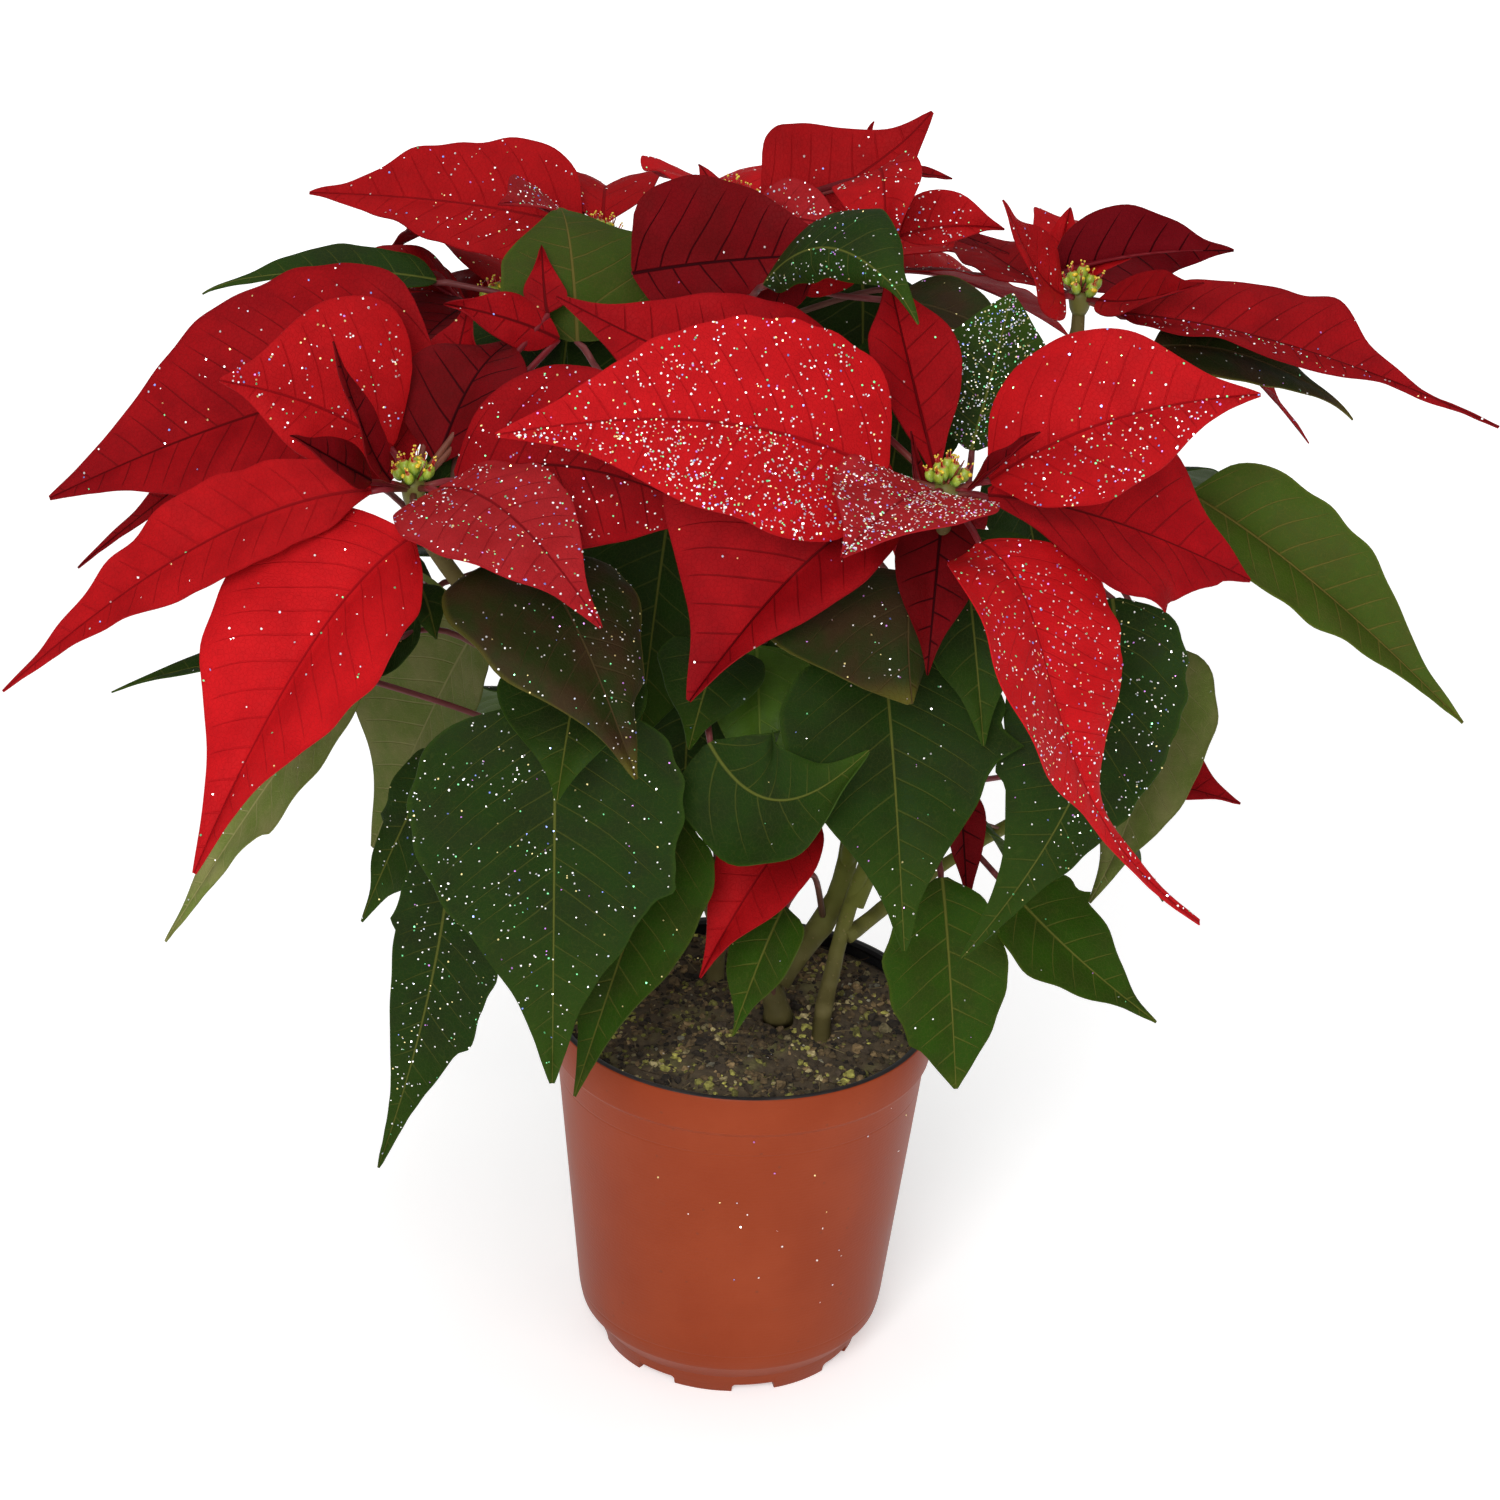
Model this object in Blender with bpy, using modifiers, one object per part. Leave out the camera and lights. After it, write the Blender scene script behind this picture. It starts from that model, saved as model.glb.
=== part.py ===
"""A potted poinsettia: a turned plastic pot with its compost, three woody stems that fork
and carry green leaves, and nine flower heads of red bracts round small green buds.

Run with: blender --background --python part.py
Tables are in millimetres, x to the right, y away from the front, z up from the pot's foot.
"""

import math
from dataclasses import dataclass, replace

import bmesh
import bpy
from mathutils import Matrix, Vector, noise
from mathutils.bvhtree import BVHTree

MM = 0.001

# The pot and its compost.
RIM_RADIUS = 65.0
POT_HEIGHT = 128.0
RIM_BAND_HEIGHT = 15.0
RIM_BAND_STEP = 1.6
WALL = 1.4
LIP_RADIUS = 0.9
TAPER_RADIUS = 53.5
HEEL_HEIGHT = 20.0
FOOT_RADIUS = 45.0
FOOT_HEIGHT = 7.0
FLOOR_HEIGHT = 4.5
PAD_RADIUS = 8.0
POT_SIDES = 32
NOTCH_COUNT = 8
NOTCH_WIDTH = 15.0
NOTCH_HEIGHT = 3.2
NOTCH_REACH = 12.0
NOTCH_TURN = 0.28
DRAIN_RADIUS = 4.5
DRAIN_COUNT = 4
DRAIN_RING = 27.0
HEEL_ROUND = 6.0
HEEL_STEP = 1.2
FOOT_RING_WIDTH = 3.5
SOIL_EDGE = 122.5
SOIL_CROWN = 126.0
SOIL_ROUGHNESS = 1.6
SOIL_SIDES = POT_SIDES // 2
SOIL_RINGS = 3
SOIL_LUMP = 9.0
STEM_HOLE_MARGIN = 2.2
GAP = 0.3

# The plant: its blades, their stalks, and the hub and buds of each flower head.
BLADE_THICKNESS = 0.8
LOBE_LENGTH = 0.1
LOBE_SWELL = 0.2
LOBE_STEP = 0.03
NEAR_LIFT = 1.2
FAR_LIFT = 0.8
HOOK_START = 0.8
LEAST_CLIMB = -0.5
MOST_CLIMB = 0.35
HUB_RADIUS = 3.4
HUB_HEIGHT = 12.0
HUB_ROOT = 0.4
HUB_GAP = 0.4
HUB_CLEARANCE = 4.6
STALK_RADIUS = 1.15
STALK_OVERLAP = 5.0
STALK_SAG = 0.45
THIN_STALK = 0.55
FORK_TAPER = 1.6
THICK_FORK = 4.5
UPRIGHT_END = 5.0
BUD_RADIUS = 2.3
BUD_RING = 3.6
BUD_RISE = 4.2
BUD_COUNT = 4
BUD_FOOT_HEIGHT = 3.4

BRACT_RED = (0.62, 0.012, 0.018, 1.0)
LEAF_GREEN = (0.03, 0.12, 0.02, 1.0)
BUD_GREEN = (0.35, 0.5, 0.05, 1.0)
POT_CLAY = (0.45, 0.11, 0.045, 1.0)
SOIL_BROWN = (0.07, 0.05, 0.03, 1.0)

# Half width along a blade, as a share of its greatest half width, from base (0) to tip (1).
OUTLINES = {
    "bract": ((0, 0.08), (0.13, 0.72), (0.34, 1.0), (0.58, 0.82), (0.82, 0.26), (1, 0.02)),
    "broad": ((0, 0.1), (0.08, 0.8), (0.27, 1.0), (0.54, 0.8), (0.8, 0.28), (1, 0.02)),
    "leaf": ((0, 0.1), (0.08, 0.78), (0.28, 1.0), (0.54, 0.78), (0.8, 0.26), (1, 0.02)),
    "tail": ((0, 0.08), (0.13, 0.8), (0.3, 1.0), (0.5, 0.95), (0.63, 0.5), (0.75, 0.16), (1, 0.03)),
    "late": ((0, 0.08), (0.16, 0.42), (0.4, 0.95), (0.62, 1.0), (0.84, 0.34), (1, 0.02)),
    "oval": ((0, 0.1), (0.14, 0.64), (0.4, 1.0), (0.66, 0.86), (0.87, 0.4), (1, 0.03)),
    "lance": ((0, 0.12), (0.3, 1.0), (0.66, 0.72), (1, 0.04)),
    "leaflet": ((0, 0.12), (0.3, 1.0), (0.66, 0.72), (1, 0.04)),
}
GREEN_KINDS = ("leaf", "oval", "leaflet")


@dataclass(frozen=True)
class Blade:
    """A leaf or a bract. base None lets it leave its flower head on a short stalk."""

    name: str
    home: str
    tip: tuple
    width: float
    rise: float = 0.0
    sway: float = 0.0
    roll: float = 0.0
    fold: float = 12.0
    twist: float = 0.0
    hook: float = 0.0
    kind: str = "bract"
    base: tuple = None
    at: float = 0.0
    lobes: tuple = ()
    skew: float = 0.0
    stalk: float = 13.0
    aim: float = None
    near: tuple = None
    far: tuple = None


# Forks of the three stems: the points that each passes through, from the ground up, and its
# radius at the ground and under the flower head.
STEMS = {
    "stem_left": {
        "A": (((11, -5, 101), (11, -5, 116), (9, -6, 138), (-25, -15, 205), (-75, -50, 275),
               (-106, -75, 335)), 6.5, 2.3),
        "E": (((11, -2, 130), (2, 4, 165), (-20, 20, 225), (-50, 55, 300), (-59, 75, 365)), 4.2, 2.2),
        "D": (((12, -5, 140), (33, 5, 182), (30, 12, 280), (4, 22, 345), (-14, 30, 392)), 4.2, 2.2),
        "F": (((33, 5, 178), (32, -2, 205), (15, -20, 234)), 2.8, 2.0),
    },
    "stem_right": {
        "B": (((27, -13, 101), (27, -13, 116), (28, -12, 138), (37, -8, 182), (56, -42, 262),
               (53, -85, 346)), 4.0, 2.3),
        "C": (((36, -8, 172), (58, 10, 230), (88, 35, 300), (99, 45, 365)), 3.2, 2.2),
        "G": (((34, -8, 160), (62, 18, 172), (105, 45, 196)), 2.8, 2.0),
    },
    "stem_back": {
        "H": (((-10, 24, 101), (-10, 24, 116), (-9, 28, 140), (0, 65, 240), (20, 120, 345)), 4.6, 2.2),
        "I": (((-9, 28, 142), (-45, 55, 225), (-80, 95, 290), (-95, 110, 330)), 3.4, 2.2),
    },
}
HEADS = tuple(home for forks in STEMS.values() for home in forks)

# A blade is named after the head that its place in the plant belongs to. L is a leaf that
# shows from the front, and K is one on the far side.
BLADES = (
    # Bracts that face the front, largest first.
    Blade("B1", "B", (-78, -122, 376), 66, rise=14, roll=-55, fold=12, stalk=19, kind="broad"),
    Blade("A1", "A", (-163, -130, 236), 68, rise=16, sway=3, roll=-16, fold=18, base=(-104, -90, 330)),
    Blade("B5", "B", (136, -125, 232), 68, roll=6, fold=8, kind="tail", base=(64, -97, 340),
          near=(90, -125, 336), far=(76, -155, 284)),
    Blade("B3", "B", (142, -94, 389), 56, rise=9, roll=46, fold=16),
    Blade("A8", "A", (-45, -150, 330), 50, rise=14, roll=16, fold=10, skew=0.25),
    Blade("A4", "A", (-227, -25, 312), 76, rise=9, roll=-58, fold=14, base=(-102, -36, 362),
          kind="broad", skew=0.05),
    Blade("A2", "A", (-225, -110, 283), 34, rise=16, roll=-36, fold=12, base=(-117, -90, 345)),
    Blade("A5", "A", (-164, -84, 376), 54, rise=5, roll=-60, fold=12, base=(-114, -66, 350),
          skew=0.35),
    Blade("B4", "B", (148, -70, 321), 60, rise=6, roll=34, fold=14, kind="late",
          lobes=((0.64, 1), (0.86, 1))),
    Blade("B10", "B", (-20, -112, 291), 76, rise=14, roll=-46, fold=22, skew=0.5),
    Blade("A10", "A", (-6, -92, 338), 62, rise=14, roll=46, fold=10),
    Blade("B2", "B", (22, -150, 355), 50, rise=6, roll=-8, fold=12, stalk=8, skew=-0.15),
    Blade("G1", "B", (-66, -46, 393), 54, rise=-6, roll=-50, fold=10, base=(28, -54, 363)),
    Blade("B6", "B", (33, -34, 403), 30, rise=6, fold=24, stalk=8, kind="late"),
    Blade("A9", "A", (-94, -32, 388), 24, rise=2, fold=12, base=(-101, -44, 346), kind="broad"),
    Blade("A11", "A", (-101, -52, 393), 17, rise=2, roll=-50, fold=10, base=(-66, -36, 377)),
    Blade("A12", "A", (-74, -20, 404), 14, rise=2, fold=16, base=(-70, -36, 386)),
    Blade("A6", "A", (-126, -95, 391), 13, roll=-60, fold=20, kind="lance", base=(-111, -86, 346)),
    Blade("A7", "A", (-137, -106, 366), 14, roll=-60, fold=20, base=(-117, -84, 345)),
    Blade("B7", "B", (42, -85, 370), 8, fold=24, kind="lance", stalk=5),
    Blade("B9", "B", (78, -104, 378), 10, roll=30, fold=24, kind="lance", stalk=5),
    Blade("B11", "B", (52, -36, 280), 32, rise=14, fold=12),
    Blade("C1", "C", (227, -20, 356), 42, rise=8, roll=14, fold=20, kind="tail", base=(112, 38, 368)),
    Blade("C2", "C", (149, 58, 385), 38, rise=4, roll=-66, fold=10, base=(91, 62, 373)),
    Blade("C3", "C", (70, 26, 406), 30, rise=0, roll=-56, fold=12, stalk=7),
    Blade("C4", "C", (96, 60, 399), 12, fold=20, kind="lance", base=(92, 58, 376)),
    Blade("C5", "C", (134, 6, 390), 22, rise=-3, roll=30, fold=20, stalk=6),
    Blade("D1", "D", (47, 42, 429), 58, rise=-8, roll=56, fold=8, hook=2, stalk=6, skew=0.1,
          kind="broad"),
    Blade("D2", "D", (22, -12, 408), 22, rise=2, roll=46, fold=10, base=(-10, 8, 403), skew=-0.2),
    Blade("D3", "D", (34, -22, 396), 28, rise=14, roll=26, fold=8, base=(30, 16, 418), skew=0.1),
    Blade("D4", "D", (72, 30, 397), 20, rise=3, roll=46, fold=16, base=(38, 26, 394), skew=-0.3),
    Blade("D5", "D", (75, 46, 384), 28, rise=2, roll=10, fold=12, base=(24, 44, 398)),
    Blade("D6", "D", (-27, 60, 405), 8, fold=20, kind="lance", stalk=5),
    Blade("D8", "D", (29, 60, 422), 5, fold=16, kind="lance", base=(24, 56, 408)),
    Blade("D9", "D", (55, 40, 411), 6, roll=20, fold=16, kind="lance", base=(40, 36, 413)),
    Blade("E3", "D", (27, -18, 402), 40, rise=2, roll=74, fold=6, kind="broad", base=(-45, -2, 387),
          skew=-0.35),
    Blade("G2", "D", (-22, -4, 384), 26, rise=2, roll=-60, fold=6, base=(12, 6, 388)),
    Blade("E1", "E", (-157, 60, 393), 52, rise=4, roll=-34, fold=16, kind="broad", base=(-66, 68, 381)),
    Blade("E2", "E", (-89, 22, 400), 34, rise=8, roll=-20, fold=14, stalk=7),
    Blade("F1", "F", (-14, -75, 178), 34, rise=8, roll=-24, fold=14, base=(20, -52, 228)),
    Blade("F4", "F", (17, -56, 262), 20, fold=18, stalk=6),
    Blade("F3", "F", (-20, 28, 236), 30, rise=6, roll=-20, fold=16),
    Blade("G_a", "G", (165, 20, 203), 32, rise=2, roll=14, fold=16, skew=-0.2),
    Blade("G_b", "G", (73, -18, 178), 17, rise=4, roll=-20, fold=16, base=(68, 0, 215)),
    Blade("G_c", "G", (140, 94, 190), 34, rise=8, fold=16),
    # Green leaves that show.
    Blade("L15", "A", (-58, -115, 160), 84, rise=6, fold=10, base=(-61, -92, 281), at=0.62, kind="leaf",
          skew=0.06, lobes=((0.52, -1),)),
    Blade("L16", "A", (-34, -140, 278), 74, rise=10, fold=8, roll=-6, base=(-69, -94, 327), at=0.9,
          kind="leaf", skew=0.2, lobes=((0.7, -1),)),
    Blade("L21", "B", (49, -105, 207), 72, rise=8, fold=8, base=(38, -66, 291), at=0.6, kind="leaf",
          lobes=((0.42, -1),)),
    Blade("L7", "C", (222, -50, 268), 44, rise=6, roll=36, fold=30, base=(134, -15, 327), at=0.75,
          kind="leaf"),
    Blade("L23", "B", (68, -90, 197), 56, rise=8, sway=-20, fold=8, base=(108, -60, 309), at=0.72,
          kind="leaf", aim=-100, skew=0.15, lobes=((0.6, 1),)),
    Blade("L14", "A", (-116, -80, 105), 37, rise=6, sway=-6, fold=10, base=(-94, -68, 219), at=0.5,
          kind="leaf", aim=-100, skew=-0.2, lobes=((0.3, 1), (0.6, -1))),
    Blade("L10", "A", (-187, -60, 174), 38, rise=4, fold=14, roll=-26, base=(-124, -45, 272), at=0.7,
          kind="leaf", lobes=((0.55, -1),)),
    Blade("L18", "A", (-52, -95, 144), 44, rise=6, fold=8, base=(-24, -62, 228), at=0.3, kind="leaf",
          aim=-110),
    Blade("L20", "D", (34, -100, 272), 44, rise=-24, roll=62, fold=6, base=(-14, -78, 262), at=0.42,
          kind="leaf", lobes=((0.5, -1),)),
    Blade("L22", "G", (71, -60, 133), 42, rise=5, fold=8, base=(63, -34, 197), at=0.4, kind="oval",
          skew=0.08, lobes=((0.8, 1),)),
    Blade("L25", "G", (137, -42, 151), 38, rise=2, sway=5, fold=10, base=(87, -25, 188), at=0.6,
          kind="leaf", aim=-62, lobes=((0.35, -1),)),
    Blade("L27", "B", (46, -115, 295), 62, rise=12, sway=4, fold=-12, roll=-12, base=(48, -78, 322),
          at=0.85, kind="oval", skew=0.6),
    Blade("L2", "D", (-70, 42, 392), 66, rise=14, roll=0, fold=-8, base=(-61, -10, 366), at=0.85,
          kind="leaf", skew=0.3),
    Blade("L3", "D", (42, -54, 392), 36, rise=13, roll=44, fold=-8, hook=-3, base=(-4, -20, 390),
          at=0.85, kind="leaf", skew=-0.4),
    Blade("L5", "C", (73, -14, 390), 40, rise=-2, fold=10, base=(62, -46, 350), at=0.72, kind="oval"),
    Blade("L6", "C", (188, 20, 345), 38, rise=9, roll=16, fold=14, hook=-3, base=(122, 26, 361), at=0.9,
          kind="leaf", skew=0.3),
    Blade("L1", "E", (-186, 36, 364), 22, rise=5, roll=-20, fold=16, hook=-3, base=(-112, 58, 362),
          at=0.9, kind="leaf"),
    Blade("L8", "A", (-221, -4, 306), 24, rise=6, roll=-26, fold=12, base=(-150, -14, 326), at=0.86,
          kind="leaf"),
    Blade("L12", "E", (-129, 20, 171), 64, rise=6, roll=8, fold=10, base=(-92, 8, 262), at=0.55,
          kind="leaf", aim=-130, skew=0.35),
    Blade("L13", "A", (-126, -40, 174), 38, rise=4, fold=14, base=(-100, -34, 234), at=0.45, kind="leaf",
          aim=-120, skew=-0.5, lobes=((0.5, 1),)),
    Blade("L9", "A", (-213, 0, 234), 20, rise=8, roll=-10, fold=20, base=(-140, -8, 250), at=0.6,
          kind="leaf"),
    Blade("L17", "A", (-58, -124, 262), 46, rise=4, fold=8, base=(-54, -88, 290), at=0.72, kind="leaf"),
    Blade("L19", "D", (-3, -62, 150), 30, rise=3, fold=10, base=(12, -46, 190), at=0.14, kind="leaf"),
    Blade("L24", "C", (114, -10, 178), 50, rise=8, sway=-12, fold=10, base=(129, 10, 262), at=0.6,
          kind="leaf"),
    Blade("L28", "B", (-6, -98, 300), 34, rise=4, fold=10, base=(18, -62, 322), at=0.8, kind="leaf"),
    Blade("L29", "A", (-20, -92, 266), 34, rise=4, roll=-10, fold=10, base=(-12, -60, 286), at=0.5,
          kind="leaf"),
    Blade("L30", "D", (3, -58, 232), 36, rise=4, fold=10, base=(-1, -34, 276), at=0.52, kind="leaf"),
    Blade("L4", "D", (77, -6, 370), 34, rise=4, roll=10, fold=10, base=(38, 10, 378), at=0.9,
          kind="leaf"),
    Blade("L31", "A", (-99, -72, 290), 12, rise=3, fold=10, base=(-106, -58, 302), at=0.72,
          kind="leaflet"),
    Blade("L11", "A", (-150, -40, 246), 30, rise=3, roll=-50, fold=10, base=(-108, -40, 288), at=0.74,
          kind="leaf"),
    Blade("L26", "G", (86, -25, 200), 14, rise=3, fold=10, base=(74, -12, 208), at=0.7, kind="leaflet"),
    # The far side, which the front view doesn't reach.
    Blade("C7", "C", (181, 62, 318), 34, rise=14, roll=10, fold=14),
    Blade("C8", "C", (122, 148, 350), 50, rise=16, fold=14),
    Blade("C9", "C", (58, 118, 372), 40, rise=4, fold=14),
    Blade("D7", "D", (-30, 112, 378), 50, rise=8, fold=14),
    Blade("E4", "E", (-140, 150, 340), 50, rise=14, fold=14),
    Blade("E5", "E", (-60, 140, 366), 38, rise=6, fold=16),
    Blade("H1", "H", (20, 226, 310), 56, rise=20, fold=14),
    Blade("H2", "H", (108, 192, 308), 54, rise=18, fold=14),
    Blade("H3", "H", (-52, 214, 308), 52, rise=18, fold=14),
    Blade("H4", "H", (86, 128, 350), 40, rise=10, fold=16),
    Blade("H5", "H", (-30, 134, 352), 36, rise=10, fold=16),
    Blade("I1", "I", (-206, 124, 290), 54, rise=22, fold=14),
    Blade("I2", "I", (-176, 196, 284), 52, rise=20, fold=14),
    Blade("I3", "I", (-96, 212, 296), 50, rise=22, fold=14),
    Blade("I5", "I", (-148, 96, 356), 36, rise=4, fold=16),
    Blade("A3", "I", (-223, 2, 277), 30, rise=12, roll=-20, fold=22),
    Blade("K1", "H", (-30, 236, 232), 60, rise=16, fold=10, base=(-6, 138, 268), at=0.62, kind="leaf",
          lobes=((0.6, 1),)),
    Blade("K2", "H", (82, 222, 216), 58, rise=14, fold=10, base=(42, 128, 256), at=0.5, kind="leaf",
          lobes=((0.55, -1),)),
    Blade("K3", "C", (172, 142, 246), 56, rise=16, fold=12, base=(118, 82, 296), at=0.7, kind="leaf"),
    Blade("K4", "I", (-178, 176, 185), 58, rise=16, fold=10, base=(-108, 118, 240), at=0.66, kind="leaf",
          lobes=((0.6, 1),)),
    Blade("K5", "H", (10, 176, 142), 56, rise=12, fold=10, base=(4, 104, 204), at=0.3, kind="leaf"),
    Blade("K6", "I", (-116, 146, 142), 54, rise=12, fold=10, base=(-66, 92, 204), at=0.36, kind="leaf",
          lobes=((0.5, -1),)),
    Blade("K7", "G", (150, 84, 132), 46, rise=10, fold=10, base=(104, 66, 178), at=0.8, kind="leaf"),
    Blade("K8", "I", (-192, 70, 206), 48, rise=14, fold=12, base=(-114, 78, 244), at=0.7, kind="leaf"),
)

# Ways to bend a blade clear of what is in its path: along the line of sight from the front,
# by roll, and by rise. The costs weigh a bend against a crossing.
SIGHT = Vector((0.0, 0.9, -0.42))
SHIFTS = (0, 6, -6, 12, -12, 18, -18, 26, -26, 36, -36)
TURNS = (0, 12, -12)
LIFTS = (0, 7, -7)
SHIFT_WEIGHT = 1 / 6
TURN_WEIGHT = 1 / 8
LIFT_WEIGHT = 1 / 5
OTHER_NODE_COST = 100.0
OWN_NODE_COST = 3.0
CLEAR_THICKNESS = 1.7
STALK_CLEARANCE = 0.5
FORK_CLEARANCE = 0.6
BUDS_CLEAR = (9.0, 6.5)
HUB_CLEAR = 1.5
RIM_CLEAR = (7.0, 6.0)
RIM_STEPS = 24


def clear_scene():
    for obj in list(bpy.data.objects):
        bpy.data.objects.remove(obj, do_unlink=True)


def new_collection(name, hidden=False):
    made = bpy.data.collections.new(name)
    bpy.context.scene.collection.children.link(made)
    made.hide_render = hidden
    return made


def new_material(name, colour, roughness):
    """A plain surface of one colour."""
    material = bpy.data.materials.new(name)
    material.use_nodes = True
    shader = material.node_tree.nodes["Principled BSDF"]
    shader.inputs["Base Color"].default_value = colour
    shader.inputs["Roughness"].default_value = roughness
    return material


def new_object(name, mesh, collection, material=None):
    """An object of its own for a mesh, with one material or none."""
    obj = bpy.data.objects.new(name, mesh)
    collection.objects.link(obj)
    if material:
        mesh.materials.clear()
        mesh.materials.append(material)
    return obj


def baked(obj, name, collection, material=None):
    """The object's evaluated shape as a new mesh object in world space, its seams welded."""
    graph = bpy.context.evaluated_depsgraph_get()
    mesh = bpy.data.meshes.new_from_object(obj.evaluated_get(graph))
    mesh.transform(obj.matrix_world)
    bm = bmesh.new()
    bm.from_mesh(mesh)
    bmesh.ops.remove_doubles(bm, verts=bm.verts, dist=1e-6)
    bm.to_mesh(mesh)
    bm.free()
    bpy.data.objects.remove(obj)
    return new_object(name, mesh, collection, material)


def smooth_path(points, per_span):
    """Points along a Catmull-Rom curve through the given ones."""
    knots = [Vector(p) for p in points]
    ends = [2 * knots[0] - knots[1], *knots, 2 * knots[-1] - knots[-2]]
    path = []
    for a, b, c, d in zip(ends, ends[1:], ends[2:], ends[3:]):
        for i in range(per_span):
            t = i / per_span
            square = (2 * a - 5 * b + 4 * c - d) * t ** 2
            cube = (3 * b - a - 3 * c + d) * t ** 3
            path.append(0.5 * (2 * b + (c - a) * t + square + cube))
    path.append(knots[-1])
    return path


def tube(name, points, radii, collection, sides=6):
    """A round stalk through the points, in millimetres, as a closed mesh."""
    curve = bpy.data.curves.new(name, "CURVE")
    curve.dimensions = "3D"
    curve.bevel_depth = MM
    curve.bevel_resolution = (sides - 4) // 2
    curve.use_fill_caps = True
    spline = curve.splines.new("POLY")
    spline.points.add(len(points) - 1)
    for knot, point, radius in zip(spline.points, points, radii):
        knot.co = (*(Vector(point) * MM), 1)
        knot.radius = radius
    obj = bpy.data.objects.new(name, curve)
    collection.objects.link(obj)
    return baked(obj, name, collection)


def fuse(name, pieces, target, material, solver="MANIFOLD"):
    """One solid from a list of pieces, by a Boolean union on a collection of all but the first.

    The manifold solver does this join, as the exact one leaves some 700 triangles more in the
    whole part.
    """
    gathered = new_collection(name + "_pieces", hidden=True)
    first, *others = pieces
    for piece in others:
        for owner in list(piece.users_collection):
            owner.objects.unlink(piece)
        gathered.objects.link(piece)
    join = first.modifiers.new("join", "BOOLEAN")
    join.operation = "UNION"
    join.operand_type = "COLLECTION"
    join.collection = gathered
    join.solver = solver
    bpy.context.view_layer.update()
    made = baked(first, name, target, material)
    for piece in others:
        bpy.data.objects.remove(piece)
    bpy.data.collections.remove(gathered)
    return made


def outline_at(kind, share):
    """Half width of an outline at a share of the blade's length."""
    points = OUTLINES[kind]
    for (t0, w0), (t1, w1) in zip(points, points[1:]):
        if share <= t1:
            return w0 + (w1 - w0) * (share - t0) / (t1 - t0)
    return points[-1][1]


def lobed_width(blade, share, side):
    """Half width in mm on one side, with the pointed lobes that some leaves have."""
    half = outline_at(blade.kind, share) * blade.width / 2 * (1 + side * blade.skew)
    for place, where in blade.lobes:
        start = place - LOBE_LENGTH
        if where == side and start < share <= place:
            half *= 1 + LOBE_SWELL * (share - start) / LOBE_LENGTH
    return half


def spine_controls(blade, root):
    """The four Bezier points of a blade's midrib, in millimetres, and its side direction."""
    tip = Vector(blade.tip)
    if blade.base:
        base = Vector(blade.base)
    else:
        out = Vector((tip.x - root.x, tip.y - root.y, 0))
        slope = (tip.z - root.z + 3 * blade.rise) / (out.length + 1)
        climb = max(LEAST_CLIMB, min(MOST_CLIMB, slope))
        reach = max(blade.stalk, HUB_RADIUS + HUB_CLEARANCE)
        base = root + (out.normalized() + Vector((0, 0, climb))) * reach
    along = tip - base
    heading = Vector((along.x, along.y, 0)).normalized()
    if blade.aim is not None:
        heading = Matrix.Rotation(math.radians(blade.aim), 3, "Z") @ Vector((1, 0, 0))
    side = heading.cross(Vector((0, 0, 1)))
    lift = Vector((0, 0, blade.rise))
    near = base + along / 3 + lift * NEAR_LIFT + side * blade.sway
    far = base + along * 2 / 3 + lift * FAR_LIFT + side * blade.sway
    if blade.near:
        near, far = Vector(blade.near), Vector(blade.far)
    return base, near, far, tip, heading


def spine_point(controls, share, hook):
    base, near, far, tip, _ = controls
    rest = 1 - share
    point = rest ** 3 * base + 3 * rest ** 2 * share * near
    point += 3 * rest * share ** 2 * far + share ** 3 * tip
    curl = max(0.0, (share - HOOK_START) / (1 - HOOK_START))
    return point + Vector((0, 0, hook * curl ** 2))


def blade_point(blade, controls, share, across):
    """A point of the blade's middle surface: share from base to tip, across from -1 to 1."""
    here = spine_point(controls, share, blade.hook)
    step = 0.01
    ahead = spine_point(controls, min(1.0, share + step), blade.hook)
    behind = spine_point(controls, max(0.0, share - step), blade.hook)
    along = (ahead - behind).normalized()
    heading = controls[4]
    side = heading.cross(Vector((0, 0, 1)))
    side = (side - along * side.dot(along)).normalized()
    turn = math.radians(blade.roll + blade.twist * share)
    side = Matrix.Rotation(turn, 3, along) @ side
    normal = side.cross(along)
    bend = math.radians(blade.fold)
    half = lobed_width(blade, share, 1 if across > 0 else -1) * abs(across)
    sign = 1 if across > 0 else -1
    return here + side * (sign * half * math.cos(bend)) + normal * (half * math.sin(bend))


def row_shares(blade):
    """Where the rows of a blade's grid lie: at its outline's points, and at its lobes."""
    shares = {t for t, _ in OUTLINES[blade.kind]}
    for place, _ in blade.lobes:
        shares |= {place, min(1.0, place + LOBE_STEP)}
    return sorted(shares)


def blade_sheet(blade, controls):
    """The blade's middle surface as a triangulated grid, three points wide."""
    shares = row_shares(blade)
    bm = bmesh.new()
    bmesh.ops.create_grid(bm, x_segments=len(shares) - 1, y_segments=2, size=1.0)
    bmesh.ops.triangulate(bm, faces=bm.faces)
    for vert in bm.verts:
        row = round((vert.co.x + 1) / 2 * (len(shares) - 1))
        vert.co = blade_point(blade, controls, shares[row], round(vert.co.y)) * MM
    bm.normal_update()
    return bm


def stalk_points(blade, controls, root):
    """The leaf stalk: it leaves its stem and runs into the blade's midrib."""
    base, near = controls[0], controls[1]
    onward = (near - base).normalized()
    end = base + onward * STALK_OVERLAP
    if blade.kind not in GREEN_KINDS:
        return [root, end]
    bend = base - onward * (base - root).length * STALK_SAG
    return [root, 0.25 * root + 0.5 * bend + 0.25 * base, end]


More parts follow.
